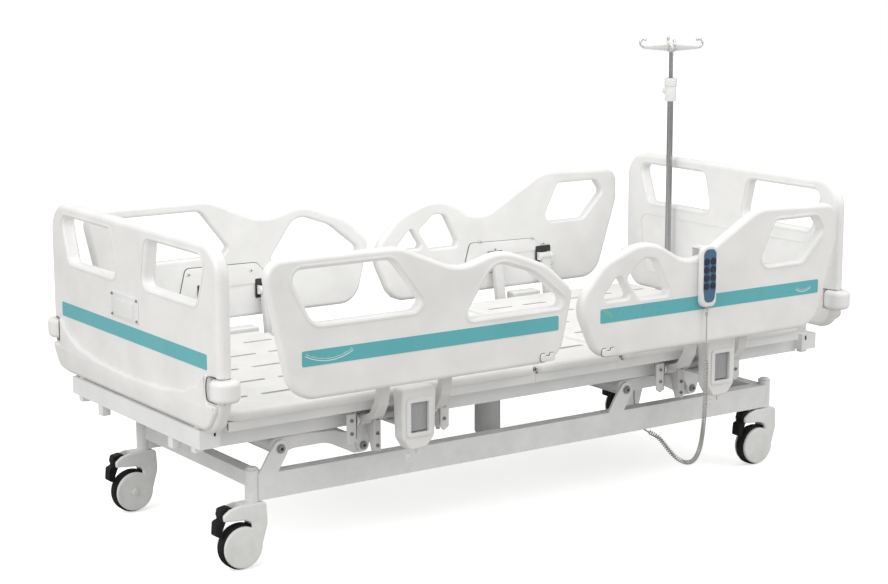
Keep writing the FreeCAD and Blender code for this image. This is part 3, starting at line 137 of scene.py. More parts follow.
finishSettings = {
    "shellPlastic": {"colour": (0.81, 0.81, 0.805), "rough": (0.28, 0.42), "coat": 0.15, "bump": 0.08,
                     "grain": 420},
    "deckPlastic": {"colour": (0.80, 0.80, 0.79), "rough": (0.34, 0.5), "bump": 0.12, "grain": 600},
    "coverPlastic": {"colour": (0.77, 0.77, 0.765), "rough": (0.32, 0.46), "bump": 0.1, "grain": 500},
    "powderCoat": {"colour": (0.80, 0.805, 0.805), "rough": (0.38, 0.55), "bump": 0.22, "grain": 1100,
                   "dust": 0.25},
    "armCoat": {"colour": (0.69, 0.69, 0.685), "rough": (0.35, 0.5), "bump": 0.2, "grain": 1100},
    "casterPlastic": {"colour": (0.82, 0.825, 0.82), "rough": (0.32, 0.5), "bump": 0.12, "grain": 500,
                      "dust": 0.2},
    "tyreRubber": {"colour": (0.010, 0.010, 0.011), "worn": (0.025, 0.025, 0.025), "rough": (0.55, 0.8),
                   "bump": 0.4, "grain": 700, "dust": 0.25, "dustColour": (0.05, 0.049, 0.047), "ior": 1.22},
    "pedalPlastic": {"colour": (0.008, 0.008, 0.009), "worn": (0.02, 0.02, 0.02), "rough": (0.4, 0.65),
                     "bump": 0.3, "grain": 800, "ior": 1.2},
    "motorCase": {"colour": (0.60, 0.605, 0.605), "rough": (0.4, 0.55), "bump": 0.2},
    "darkCase": {"colour": (0.05, 0.052, 0.055), "rough": (0.4, 0.6), "bump": 0.3},
    "rodSteel": {"colour": (0.55, 0.55, 0.56), "metal": 1.0, "rough": (0.24, 0.4), "bump": 0.06,
                 "brush": (2, 90, 90)},
    "boltSteel": {"colour": (0.36, 0.36, 0.37), "metal": 1.0, "rough": (0.3, 0.5), "grain": 1500},
    # painted shade: a dark metal for the sockets of the big pivot bolts, standing in for the dark inside of
    # the socket
    "paintedSocketShade": {"colour": (0.05, 0.05, 0.055), "metal": 0.6, "rough": (0.35, 0.5), "grain": 1500},
    "paddleGrey": {"colour": (0.36, 0.37, 0.375), "rough": (0.3, 0.45), "grain": 600},
    "stripeTeal": {"colour": (0.105, 0.445, 0.485), "worn": (0.115, 0.46, 0.50), "rough": (0.25, 0.36),
                   "coat": 0.3, "bump": 0.04, "grain": 300},
    "markWhite": {"colour": (0.72, 0.75, 0.75), "rough": (0.4, 0.5), "bump": 0.05},
    "markLime": {"colour": (0.30, 0.62, 0.16), "rough": (0.4, 0.5), "bump": 0.05},
    "handsetBlue": {"colour": (0.055, 0.145, 0.25), "worn": (0.065, 0.16, 0.27), "rough": (0.35, 0.5),
                    "bump": 0.1},
    "buttonNavy": {"colour": (0.012, 0.018, 0.045), "rough": (0.4, 0.55), "bump": 0.2, "grain": 1200},
    "cordSleeve": {"colour": (0.42, 0.415, 0.40), "worn": (0.48, 0.475, 0.46), "rough": (0.45, 0.6),
                   "bump": 0.2, "grain": 1200},
    # painted shade: a near-black finish for thin sheets and beads laid where gaps, slots, holes and bolt
    # sockets would be dark
    "paintedGapShade": {"colour": (0.03, 0.03, 0.03), "rough": (0.7, 0.9), "bump": 0.1},
    "cardPlastic": {"colour": (0.80, 0.81, 0.81), "rough": (0.12, 0.22), "coat": 0.5, "bump": 0.03,
                    "grain": 200},
    "poleFinish": {"colour": (0.42, 0.42, 0.43), "metal": 1.0, "rough": (0.14, 0.26), "bump": 0.05,
                   "brush": (90, 90, 2)},
    "poleRod": {"colour": (0.40, 0.40, 0.41), "worn": (0.44, 0.44, 0.45), "metal": 0.9, "rough": (0.14, 0.26),
                "bump": 0.03, "grain": 200, "split": (1.258, (0.74, 0.74, 0.735))},
    "hookCoat": {"colour": (0.66, 0.66, 0.65), "rough": (0.32, 0.45), "bump": 0.03, "grain": 300},
}
finishes = {name: makeFinish(name, choices) for name, choices in finishSettings.items()}
print("finishes made:", len(finishes))


# Planes for flat pieces: x across, y up and z outwards from that side of the bed
bedSides = (("near", -1), ("far", 1))
poleSettings = {"place": (1.018, 0.245), "turn": -34.4}
faces = {
    "near": Matrix(((1, 0, 0), (0, 0, -1), (0, 1, 0))),
    "far": Matrix(((-1, 0, 0), (0, 0, 1), (0, 1, 0))),
    "foot": Matrix(((0, 0, -1), (-1, 0, 0), (0, 1, 0))),
    "head": Matrix(((0, 0, 1), (1, 0, 0), (0, 1, 0))),
    "top": Matrix(((1, 0, 0), (0, 1, 0), (0, 0, 1))),
}
for arm in range(2):
    hookAngle = math.radians(90 * arm + poleSettings["turn"])
    across, along = math.cos(hookAngle), math.sin(hookAngle)
    faces[f"hooks{arm}"] = Matrix(((across, 0, along), (along, 0, -across), (0, 1, 0)))


# Outlines
def roundedRing(corners, steps=6):
    ring = []
    count = len(corners)
    for index, (x, y, radius) in enumerate(corners):
        here = Vector((x, y))
        back = Vector(corners[index - 1][:2]) - here
        ahead = Vector(corners[(index + 1) % count][:2]) - here
        if radius <= 0:
            ring.append(here)
            continue
        half = back.angle(ahead) / 2
        reach = min(radius / math.tan(half), 0.49 * back.length, 0.49 * ahead.length)
        radius = reach * math.tan(half)
        start, end = here + back.normalized() * reach, here + ahead.normalized() * reach
        centre = here + (back.normalized() + ahead.normalized()).normalized() * radius / math.sin(half)
        first = math.atan2(*(start - centre).yx)
        last = math.atan2(*(end - centre).yx)
        turn = (last - first + math.pi) % (2 * math.pi) - math.pi
        for step in range(steps + 1):
            angle = first + turn * step / steps
            ring.append(centre + radius * Vector((math.cos(angle), math.sin(angle))))
    return ring


def band(left, right, low, high, radius):
    corners = [(left, low), (right, low), (right, high), (left, high)]
    return roundedRing([(*corner, radius) for corner in corners])


def circle(x, z, radius, steps=28):
    angles = [2 * math.pi * step / steps for step in range(steps)]
    return [Vector((x + radius * math.cos(angle), z + radius * math.sin(angle))) for angle in angles]


def grow(ring, amount):
    area = sum(a.x * b.y - b.x * a.y for a, b in zip(ring, ring[1:] + ring[:1]))
    grown = []
    for index, point in enumerate(ring):
        along = (ring[(index + 1) % len(ring)] - ring[index - 1]).normalized()
        grown.append(point + Vector((along.y, -along.x)) * math.copysign(amount, area))
    return grown


def flip(side, ring):  # from world X or Y to x on that side's plane
    points = [Vector(spot[:2]) for spot in ring]
    if side in ("far", "foot"):
        return [Vector((-point.x, point.y)) for point in points][::-1]
    return points


# Builders
def finishPiece(piece, body, finish=None):
    if finish is not None:
        piece.data.materials.clear()
        piece.data.materials.append(finishes[finish])
    for polygon in piece.data.polygons:
        polygon.use_smooth = True
    piece.data.set_sharp_from_angle(angle=math.radians(35))
    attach(piece, body)
    return piece


def newPiece(name, mesh):
    piece = bpy.data.objects.new(name, mesh)
    scene.collection.objects.link(piece)
    return piece


def evaluatedMesh(piece):
    bpy.context.view_layer.update()
    return bpy.data.meshes.new_from_object(piece.evaluated_get(bpy.context.evaluated_depsgraph_get()))


def meshOfCurve(name, curve):
    line = newPiece(name + "Line", curve)
    mesh = evaluatedMesh(line)
    bpy.data.objects.remove(line)
    mesh.name = name
    return mesh


def plate(name, body, finish, side, level, rings, thickness, edge=0.0):
    curve = bpy.data.curves.new(name + "Line", "CURVE")
    curve.dimensions = "2D"
    curve.fill_mode = "BOTH"
    curve.extrude = thickness / 2 - edge
    curve.bevel_depth = edge
    curve.bevel_resolution = 2 if edge else 0
    curve.offset = -edge
    for ring in rings:
        spline = curve.splines.new("POLY")
        spline.points.add(len(ring) - 1)
        for point, spot in zip(spline.points, ring):
            point.co = (spot[0], spot[1], 0, 1)
        spline.use_cyclic_u = True
    mesh = meshOfCurve(name, curve)
    turn = faces[side]
    normal = turn @ Vector((0, 0, 1))
    for vertex in mesh.vertices:
        vertex.co = turn @ vertex.co + normal * (level + thickness / 2)
    shell = bmesh.new()
    shell.from_mesh(mesh)
    bmesh.ops.remove_doubles(shell, verts=shell.verts, dist=1e-6)
    bmesh.ops.recalc_face_normals(shell, faces=shell.faces)
    shell.to_mesh(mesh)
    shell.free()
    return finishPiece(newPiece(name, mesh), body, finish)


def smoothLine(name, points, resolution, radius=0.0, sides=0):
    curve = bpy.data.curves.new(name, "CURVE")
    curve.dimensions = "3D"
    curve.bevel_depth = radius
    curve.bevel_resolution = sides
    curve.use_fill_caps = radius > 0
    spline = curve.splines.new("NURBS")
    spline.points.add(len(points) - 1)
    for point, spot in zip(spline.points, points):
        point.co = (*spot, 1)
    spline.order_u = 3
    spline.use_endpoint_u = True
    spline.resolution_u = resolution
    return curve


def bead(name, body, finish, points, radius):
    curve = smoothLine(name + "Line", points, 6, radius, 1)
    return finishPiece(newPiece(name, meshOfCurve(name, curve)), body, finish)


# Geometry Nodes trees that put one detail on every point
def nodeTree(name, inputs):
    tree = bpy.data.node_groups.new(name, "GeometryNodeTree")
    for label, kind, value in [("Geometry", "Geometry", None)] + inputs:
        socket = tree.interface.new_socket(label, in_out="INPUT", socket_type="NodeSocket" + kind)
        if value is not None:
            socket.default_value = value
    tree.interface.new_socket("Geometry", in_out="OUTPUT", socket_type="NodeSocketGeometry")
    return tree, tree.nodes.new("NodeGroupInput").outputs, tree.nodes.new("NodeGroupOutput").inputs[0]


# Bolt heads: a flange, a head and a six-sided socket, which is a raised cylinder in the socket finish; a
# near-black socket finish is painted shade standing in for the recess
def boltTree():
    tree, entry, leave = nodeTree("boltHeads", [
        ("Head Radius", "Float", 0.005), ("Head Height", "Float", 0.003), ("Socket Radius", "Float", 0.0025),
        ("Sides", "Int", 20), ("Facing", "Vector", None), ("Head Finish", "Material", None),
        ("Socket Finish", "Material", None)])

    def share(value, part):
        node = addNode(tree, "ShaderNodeMath", {0: value, 1: part})
        node.operation = "MULTIPLY"
        return node.outputs[0]

    def layer(bottom, top, depth, lift, sides, finish):
        cone = addNode(tree, "GeometryNodeMeshCone", {
            "Vertices": sides, "Side Segments": 2, "Radius Bottom": bottom, "Radius Top": top,
            "Depth": depth})
        spot = addNode(tree, "ShaderNodeCombineXYZ", {"Z": lift})
        move = addNode(tree, "GeometryNodeTransform", {
            "Geometry": cone.outputs["Mesh"], "Translation": spot.outputs[0]})
        return addNode(tree, "GeometryNodeSetMaterial", {"Geometry": move.outputs[0],
                                                         "Material": finish}).outputs[0]

    radius, height, socket = (entry[label] for label in ("Head Radius", "Head Height", "Socket Radius"))
    outside = (entry["Sides"], entry["Head Finish"])
    flange = layer(share(radius, 1.0), share(radius, 0.97), share(height, 0.3), share(height, 0.0), *outside)
    head = layer(share(radius, 0.8), share(radius, 0.66), share(height, 0.85), share(height, 0.14), *outside)
    six = tree.nodes.new("FunctionNodeInputInt")
    six.integer = 6
    well = layer(socket, socket, share(height, 0.2), share(height, 0.8), six.outputs[0],
                 entry["Socket Finish"])
    join = tree.nodes.new("GeometryNodeJoinGeometry")
    for part in (flange, head, well):
        tree.links.new(part, join.inputs[0])
    align = addNode(tree, "FunctionNodeAlignRotationToVector", {"Vector": entry["Facing"]})
    align.axis = "Z"
    place = addNode(tree, "GeometryNodeInstanceOnPoints", {
        "Points": entry["Geometry"], "Instance": join.outputs[0], "Rotation": align.outputs[0]})
    real = addNode(tree, "GeometryNodeRealizeInstances", {0: place.outputs[0]})
    tree.links.new(real.outputs[0], leave)
    return tree


boltHeads = boltTree()


def runTree(name, body, tree, points, values):
    mesh = bpy.data.meshes.new(name)
    mesh.from_pydata(points, [], [])
    piece = newPiece(name, mesh)
    modifier = piece.modifiers.new("build", "NODES")
    modifier.node_group = tree
    for item in tree.interface.items_tree:
        if item.item_type == "SOCKET" and item.in_out == "INPUT" and item.name in values:
            modifier[item.identifier] = values[item.name]
    result = evaluatedMesh(piece)
    piece.modifiers.remove(modifier)
    piece.data = result
    result.name = name
    return finishPiece(piece, body)


# By default the socket is painted shade: a near-black disc where the socket's recess would be dark
def bolts(name, body, points, facing, radius, height, sides=20, head="boltSteel", socket="paintedGapShade"):
    lifted = [Vector(point) + Vector(facing) * height * 0.14 for point in points]
    return runTree(name, body, boltHeads, lifted, {
        "Head Radius": radius, "Head Height": height, "Socket Radius": radius * 0.42, "Sides": sides,
        "Facing": facing, "Head Finish": finishes[head], "Socket Finish": finishes[socket]})


# Handset cord: a straight lead, a curly stretch and a straight tail to the control box
cordSettings = {"diameter": 0.0040, "coilRadius": 0.0054, "pitch": 0.0072, "perTurn": 14, "easeIn": 10,
                "coilStart": (0.4793, -0.560, 0.4205), "coilEnd": (0.4650, -0.3375, 0.1640),
                "step": 0.012, "lastStep": 0.006, "near": 0.012}
leadPoints = [(478, -559, 573.5), (478.5, -559.5, 556), (479, -560, 418), (480, -559, 398)]
coilPoints = [(482, -557, 362), (485, -553, 312), (489, -546, 262), (496, -534, 212), (505, -517, 166),
              (514, -494, 126), (520, -466, 96), (519, -434, 84), (507, -402, 95), (491, -378, 124),
              (478, -362, 150)]
tailPoints = [(470, -350, 160), (462, -331, 166), (456, -308, 172), (452, -290, 188), (450, -279, 216),
              (449, -273, 252), (449, -271, 286), (449, -271, 318)]


def cordRoute():
    points = [Vector(point) / 1000 for point in leadPoints + coilPoints + tailPoints]
    guide = newPiece("cordGuide", smoothLine("cordGuide", points, 40))
    line = [vertex.co.copy() for vertex in evaluatedMesh(guide).vertices]
    bpy.data.objects.remove(guide)
    return line


def handsetCord():
    line = cordRoute()
    lengths = [0.0]
    for first, second in zip(line, line[1:]):
        lengths.append(lengths[-1] + (second - first).length)

    def along(distance):
        for index in range(1, len(line)):
            if lengths[index] >= distance:
                gone = distance - lengths[index - 1]
                part = gone / max(1e-9, lengths[index] - lengths[index - 1])
                heading = (line[index] - line[index - 1]).normalized()
                return line[index - 1].lerp(line[index], part), heading
        return line[-1], (line[-1] - line[-2]).normalized()

    def lengthsNear(place):
        spot = Vector(place)
        return [gone for gone, point in zip(lengths, line) if (point - spot).length < cordSettings["near"]]

    start, end = lengthsNear(cordSettings["coilStart"])[0], lengthsNear(cordSettings["coilEnd"])[-1]
    step = cordSettings["step"]
    points, spot = [], 0.0
    while spot < start - step:
        points.append(along(spot)[0])
        spot += step
    across = Vector((1, 0, 0))
    turns = (end - start) / cordSettings["pitch"]
    count = int(turns * cordSettings["perTurn"])
    for index in range(count + 1):
        here, ahead = along(start + (end - start) * index / count)
        across = (across - ahead * across.dot(ahead)).normalized()
        other = ahead.cross(across)
        ease = min(1.0, index / cordSettings["easeIn"], (count - index) / cordSettings["easeIn"])
        angle = 2 * math.pi * index / cordSettings["perTurn"]
        outwards = across * math.cos(angle) + other * math.sin(angle)
        points.append(here + cordSettings["coilRadius"] * ease * outwards)
    spot = end + step
    while spot < lengths[-1] - cordSettings["lastStep"]:
        points.append(along(spot)[0])
        spot += step
    points.append(line[-1])
    curve = smoothLine("handsetCordLine", points, 3, cordSettings["diameter"] / 2, 2)
    curve.materials.append(finishes["cordSleeve"])
    piece = newPiece("curlyCord", curve)
    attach(piece, "handset")
    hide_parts("handset_cord")


handsetCord()
print("cord made")


# Carried-over nodes take their finishes; the longest name that fits counts
nodeFinish = {"base_frame": "powderCoat", "lift_arm": "powderCoat", "upper_frame": "powderCoat",
              "caster_housing": "casterPlastic", "caster_wheel": "tyreRubber",
              "brake_pedal": "pedalPlastic", "back_frame": "powderCoat", "thigh_frame": "powderCoat",
              "calf_frame": "powderCoat", "panel": "deckPlastic", "rail_panel": "shellPlastic",
              "rail_arms": "armCoat", "latch_covers": "coverPlastic", "release_paddle": "paddleGrey",
              "footboard": "shellPlastic", "headboard": "shellPlastic", "corner_roller": "shellPlastic",
              "drip_pole_tube": "poleFinish", "drip_pole_rod": "poleRod", "handset": "coverPlastic",
              "handset_button": "buttonNavy", "control_box": "darkCase", "drive_motors": "motorCase",
              "rod": "rodSteel"}
for label, node in nodes.items():
    matches = [key for key in nodeFinish if key in label]
    node.data.materials.clear()
    if matches:
        node.data.materials.append(finishes[nodeFinish[max(matches, key=len)]])
    else:
        print("no finish for", label)
print("nodes finished:", len(nodes))


# Teal stripes: thin sheets with rounded ends on the rails and the end boards
railFace, boardFace = 0.548, 1.09
stripeSettings = {"low": 0.5795, "high": 0.6205, "round": 0.005, "thick": 0.0008, "board": (-0.44, 0.44),
                  "foot": (-0.876, -0.056), "head": (0.092, 0.934)}
markLevel = railFace + stripeSettings["thick"]


def stripe(name, body, side, level, left, right):
    ring = band(left, right, stripeSettings["low"], stripeSettings["high"], stripeSettings["round"])
    plate(name, body, "stripeTeal", side, level, [flip(side, ring)], stripeSettings["thick"])


# Angle scales on the stripes: a bow, a fine line and ticks
angleScales = {
    "foot": {"middle": -0.795, "level": 0.7375, "radius": 0.150, "spread": 29, "ticks": 25},
    "head": {"middle": 0.872, "level": 0.6440, "radius": 0.056, "spread": 34, "ticks": 9},
}
scaleLines = {"bow": (0.0, 0.0022), "fine": (0.0058, 0.0066), "tickStart": 0.0068, "longTick": 0.0105,
              "shortTick": 0.0085, "tickHalf": 0.0005, "thick": 0.0003}


def angleScale(side, end):
    settings = angleScales[end]
    radius, ticks = settings["radius"], settings["ticks"]
    span = math.radians(settings["spread"])
    tickHalf = scaleLines["tickHalf"] / radius

    def at(angle, inset):
        distance = radius - inset
        return Vector((settings["middle"] + distance * math.sin(angle),
                       settings["level"] - distance * math.cos(angle)))

    rings = []
    for line in ("bow", "fine"):
        outer, inner = scaleLines[line]
        rings.append([at(-span + span * step / 12, outer) for step in range(25)]
                     + [at(span - span * step / 12, inner) for step in range(25)])
    for tick in range(ticks):
        angle = -span * 0.96 + 2 * span * 0.96 * tick / (ticks - 1)
        reach = scaleLines["shortTick" if tick % 4 else "longTick"]
        rings.append([at(angle - tickHalf, scaleLines["tickStart"]),
                      at(angle + tickHalf, scaleLines["tickStart"]), at(angle + tickHalf, reach),
                      at(angle - tickHalf, reach)])
    plate(f"angle_scale_{side}_{end}", f"rail_{side}_{end}", "markWhite", side, markLevel,
          [flip(side, ring) for ring in rings], scaleLines["thick"])


# Two slanting lime lines at the inner end of each head rail's stripe
limeMark = [(0.096, 0.0985, 0.6195), (0.1345, 0.5935, 0.5912)]


def limeLines(side):
    (left, right, top), (edge, high, low) = limeMark
    lines = []
    for shift in (0.0, 0.0085):
        lines.append([(left + shift, top), (right + shift, top), (edge, high + shift), (edge, low + shift)])
    plate(f"lime_mark_{side}", f"rail_{side}_head", "markLime", side, markLevel,
          [flip(side, line) for line in lines], scaleLines["thick"])


railEnds = [(side, end) for side in ("near", "far") for end in ("foot", "head")]
for side, end in railEnds:
    stripe(f"stripe_{side}_{end}", f"rail_{side}_{end}", side, railFace, *stripeSettings[end])
for board, side in (("footboard", "foot"), ("headboard", "head")):
    stripe(f"stripe_{board}", board, side, boardFace, *stripeSettings["board"])
for side, end in railEnds:
    angleScale(side, end)
for side in ("near", "far"):
    limeLines(side)
print("stripes made")


# Side rails: a low rim round each window and a hook-shaped catch at the inner lower corner, with a ring of
# painted shade round the catch where the gap behind it would be dark
railWindows = {
    "foot": [[(-914, 830, 26), (-600, 830, 42), (-506, 710, 14), (-530, 688, 14), (-838, 688, 45)],
             [(-374, 645, 18), (-268, 792, 55), (-140, 748, 120), (-36, 664, 18), (-52, 645, 12)]],
    "head": [[(757, 812, 18), (920, 812, 26), (950, 770, 16), (866, 684, 22), (692, 684, 26)]],
}
rimSettings = {"start": 0.0075, "end": 0.0135, "sheet": (0.0012, 0.0005)}
catchSettings = {"foot": (-0.094, 0.5085), "head": (0.122, 0.4960), "wide": 0.024, "tall": 0.011,
                 "hook": 0.008, "notch": 0.003, "round": 0.007, "sharp": 0.003, "gap": 0.0014,
                 "gapThick": 0.0006, "sunk": 0.0005, "sheet": (0.0065, 0.0014)}


def windowRim(name, body, side, level, corners):
    ring = roundedRing(corners)
    rings = [flip(side, grow(ring, rimSettings[key])) for key in ("end", "start")]
    plate(name, body, "shellPlastic", side, level, rings, *rimSettings["sheet"])


def railCatch(side, end):
    x, z = catchSettings[end]
    wide, tall, hook, notch = (catchSettings[key] for key in ("wide", "tall", "hook", "notch"))
    soft, sharp = catchSettings["round"], catchSettings["sharp"]
    shape = [(-wide, -tall, soft), (wide, -tall, soft), (wide, tall, soft), (hook, tall, sharp),
             (hook, notch, sharp), (-hook, notch, sharp), (-hook, tall, sharp), (-wide, tall, soft)]
    ring = flip(side, roundedRing([(x + across, z + up, radius) for across, up, radius in shape]))
    # painted shade: a near-black sheet a little wider than the catch stands in for the shaded gap round it
    plate(f"catch_gap_shade_{side}_{end}", f"rail_{side}_{end}", "paintedGapShade", side, railFace,
          [grow(ring, catchSettings["gap"])], catchSettings["gapThick"])
    plate(f"rail_catch_{side}_{end}", f"rail_{side}_{end}", "deckPlastic", side,
          railFace - catchSettings["sunk"], [ring], *catchSettings["sheet"])


for end, windows in railWindows.items():
    for side in ("near", "far"):
        for index, window in enumerate(windows):
            corners = [(across / 1000, high / 1000, radius / 1000) for across, high, radius in window]
            windowRim(f"window_rim_{side}_{end}_{index}", f"rail_{side}_{end}", side, railFace, corners)
        railCatch(side, end)
print("rails dressed")


# Inner plates of the side rails, each with a gap line of painted shade, screws, and two slots at the arms
# drawn as near-black sheets of painted shade
railMounts = {"foot": -0.49, "head": 0.59}
innerPlates = {
    "foot": [(-0.69, 0.536, 0.014), (-0.575, 0.536, 0.01), (-0.565, 0.592, 0.008), (-0.415, 0.592, 0.008),
             (-0.405, 0.536, 0.01), (-0.30, 0.536, 0.014), (-0.415, 0.656, 0.016), (-0.658, 0.66, 0.016)],
    "head": [(0.36, 0.536, 0.014), (0.495, 0.536, 0.01), (0.505, 0.592, 0.008), (0.675, 0.592, 0.008),
             (0.685, 0.536, 0.01), (0.76, 0.536, 0.014), (0.65, 0.634, 0.016), (0.39, 0.64, 0.016)],
}
innerLevels = {"plate": -0.512, "plateThick": 0.0035, "slot": -0.5088, "screw": 0.5085, "middle": 0.597,
               "widen": 1.012, "heighten": 1.03}
innerScrews = [(-0.16, 0.642), (0.055, 0.634), (-0.175, 0.556), (-0.1, 0.612), (0.1, 0.612)]
armSlot = {"a": -0.1, "b": 0.1, "half": 0.031, "low": 0.546, "high": 0.606, "round": 0.004, "thick": 0.0012}


def innerPlate(side, end):
    body = f"rail_{side}_{end}"
    look, sign = ("far", -1) if side == "near" else ("near", 1)
    mount, middle, level = railMounts[end], innerLevels["middle"], innerLevels["plate"]
    ring = roundedRing(innerPlates[end])
    outline = flip(look, ring)
    plate(f"inner_plate_{side}_{end}", body, "shellPlastic", look, level, [outline],
          innerLevels["plateThick"], 0.001)
    wider = [((x - mount) * innerLevels["widen"] + mount, (z - middle) * innerLevels["heighten"] + middle)
             for x, z in ring]
    # painted shade: a near-black ring round the plate where the seam would be dark
    plate(f"inner_gap_shade_{side}_{end}", body, "paintedGapShade", look, level, [flip(look, wider), outline], 0.0006)
    spots = [(mount + offset, sign * innerLevels["screw"], high) for offset, high in innerScrews]
    bolts(f"plate_screws_{side}_{end}", body, spots, (0, -sign, 0), 0.006, 0.0035, head="armCoat")
    # painted shade: each slot is a near-black sheet standing in for the dark opening
    for key in ("a", "b"):
        x, half = mount + armSlot[key], armSlot["half"]
        slot = band(x - half, x + half, armSlot["low"], armSlot["high"], armSlot["round"])
        plate(f"arm_slot_{side}_{end}_{key}", body, "paintedGapShade", look, innerLevels["slot"], [flip(look, slot)],
              armSlot["thick"])


for end in innerPlates:
    for side in ("near", "far"):
        innerPlate(side, end)
print("inner plates made")


# End boards: a raised skirt, window rims, beads of painted shade in the gaps round the rollers and an inner
# panel line
skirtTop = [(-0.449, 0.580, 0.006), (-0.405, 0.541, 0.03), (-0.33, 0.509, 0.08), (-0.2, 0.49, 0.2),
            (0, 0.484, 0.3), (0.2, 0.49, 0.2), (0.33, 0.509, 0.08), (0.405, 0.541, 0.03),
            (0.449, 0.580, 0.006)]
skirtEar = [(0.449, 0.497, 0.006), (0.494, 0.497, 0.006), (0.489, 0.478, 0.02)]
skirtSettings = {"footboard": 0.424, "headboard": 0.452, "half": 0.452, "round": 0.055, "level": 1.0835,
                 "sheet": (0.0175, 0.008)}
boardWindow = [(0.108, 0.868, 0.024), (0.432, 0.868, 0.024), (0.386, 0.742, 0.024), (0.078, 0.742, 0.024)]
innerFace = -1.05
rollerGap = {"route": [(1.0745, 0.5045, 0.5685), (1.09, 0.498, 0.5685), (1.0925, 0.458, 0.5685),
                       (1.0995, 0.4488, 0.5625)], "middle": 0.535, "radius": 0.0012}
panelLine = [(-0.40, 0.50, 0.03), (0.40, 0.50, 0.03), (0.43, 0.70, 0.03), (-0.43, 0.70, 0.03)]


def boardSkirt(board, outward):
    low, half = skirtSettings[board], skirtSettings["half"]
    bottom = [(half, low, skirtSettings["round"]), (-half, low, skirtSettings["round"])]
    farEar = [(-x, z, radius) for x, z, radius in skirtEar[::-1]]
    plate(f"skirt_{board}", board, "shellPlastic", outward, skirtSettings["level"],
          [roundedRing(skirtTop + skirtEar + bottom + farEar)], *skirtSettings["sheet"])


# painted shade: a thin near-black bead round each roller where the gap beside it would be dark
def rollerGapLine(board, sign, label, place):
    middle = rollerGap["middle"]
    route = rollerGap["route"] + [(x, y, 2 * middle - z) for x, y, z in rollerGap["route"][::-1]]
    bead(f"roller_gap_shade_{board}_{label}", board, "paintedGapShade", [(sign * x, place * y, z) for x, y, z in route],
         rollerGap["radius"])


def innerLine(board, inward):
    ring = roundedRing(panelLine)
    inside = [Vector((point.x * 0.992, (point.y - 0.6) * 0.97 + 0.6)) for point in ring]
    plate(f"inner_line_{board}", board, "coverPlastic", inward, innerFace, [ring, inside], 0.0016, 0.0005)


for board, sign, outward, inward in (("footboard", -1, "foot", "head"), ("headboard", 1, "head", "foot")):
    boardSkirt(board, outward)
    for label, half in bedSides:
        corners = [(half * y, z, radius) for y, z, radius in boardWindow][::half]
        windowRim(f"window_rim_{board}_{label}", board, outward, boardFace, corners)
        windowRim(f"inner_rim_{board}_{label}", board, inward, innerFace, corners)
    for label, half in bedSides:
        rollerGapLine(board, sign, label, half)


# Card holder on the footboard: a clear plate, a pocket and four screws
cardHolder = {"plate": (-0.106, 0.058, 0.634, 0.704, 0.004), "plateSheet": (0.003, 0.0008),
              "pocket": (-0.078, 0.030, 0.640, 0.686, 0.003), "pocketLevel": 1.093,
              "pocketSheet": (0.0018, 0.0006), "screwLevel": -1.0932, "screwSides": (0.099, -0.051),
              "screwHeights": (0.641, 0.697), "screw": (0.0042, 0.003)}
plate("card_holder", "footboard", "cardPlastic", "foot", boardFace, [band(*cardHolder["plate"])],
      *cardHolder["plateSheet"])
plate("card_pocket", "footboard", "coverPlastic", "foot", cardHolder["pocketLevel"],
      [band(*cardHolder["pocket"])], *cardHolder["pocketSheet"])
cardScrews = [(cardHolder["screwLevel"], y, z) for y in cardHolder["screwSides"]
              for z in cardHolder["screwHeights"]]
bolts("card_screws", "footboard", cardScrews, (-1, 0, 0), *cardHolder["screw"])
for board, inward in (("footboard", "head"), ("headboard", "foot")):
    innerLine(board, inward)
print("boards dressed")


# Latch covers: a raised frame round each window and a tab below
coverFrame = {"outer": (0.041, 0.053, 0.010), "inner": (0.0285, 0.0415, 0.003), "middle": 0.386,
              "level": 0.505, "sheet": (0.004, 0.0014)}
coverTab = {"offset": -0.018, "low": 0.259, "high": 0.281, "bottomHalf": 0.006, "topHalf": 0.009,
            "round": 0.005, "holeUp": 0.0065, "hole": 0.0025, "level": 0.472,
            "sheet": (0.004, 0.0006)}


def latchCover(side, end, mount):
    rings = []
    for wide, tall, radius in (coverFrame["outer"], coverFrame["inner"]):
        ring = band(mount - wide, mount + wide, coverFrame["middle"] - tall, coverFrame["middle"] + tall,
                    radius)
        rings.append(flip(side, ring))
    plate(f"window_frame_{side}_{end}", "upper", "coverPlastic", side, coverFrame["level"], rings,
          *coverFrame["sheet"])
    x, low, high = mount + coverTab["offset"], coverTab["low"], coverTab["high"]
    bottom, top = coverTab["bottomHalf"], coverTab["topHalf"]
    tab = roundedRing([(x - bottom, low, coverTab["round"]), (x + bottom, low, coverTab["round"]),
                       (x + top, high, 0.001), (x - top, high, 0.001)])
    hole = circle(x, low + coverTab["holeUp"], coverTab["hole"], 12)
    plate(f"cover_tab_{side}_{end}", "upper", "coverPlastic", side, coverTab["level"],
          [flip(side, tab), flip(side, hole)], *coverTab["sheet"])


# Brackets: folded sheet at each end of the arm shaft, and a bolted channel beside the cover
bracketSettings = {"start": 0.1345, "end": 0.166, "front": 0.4005, "sheet": 0.003, "wall": 0.359,
                   "edge": 0.0006, "boltPlace": 0.150, "boltHeights": (0.340, 0.376),
                   "bolt": (0.0055, 0.004)}
channelSettings = {"left": -0.080, "right": -0.058, "lips": (-0.0800, -0.0610), "boltPlace": -0.069,
                   "boltHeights": (0.296, 0.330, 0.372)}


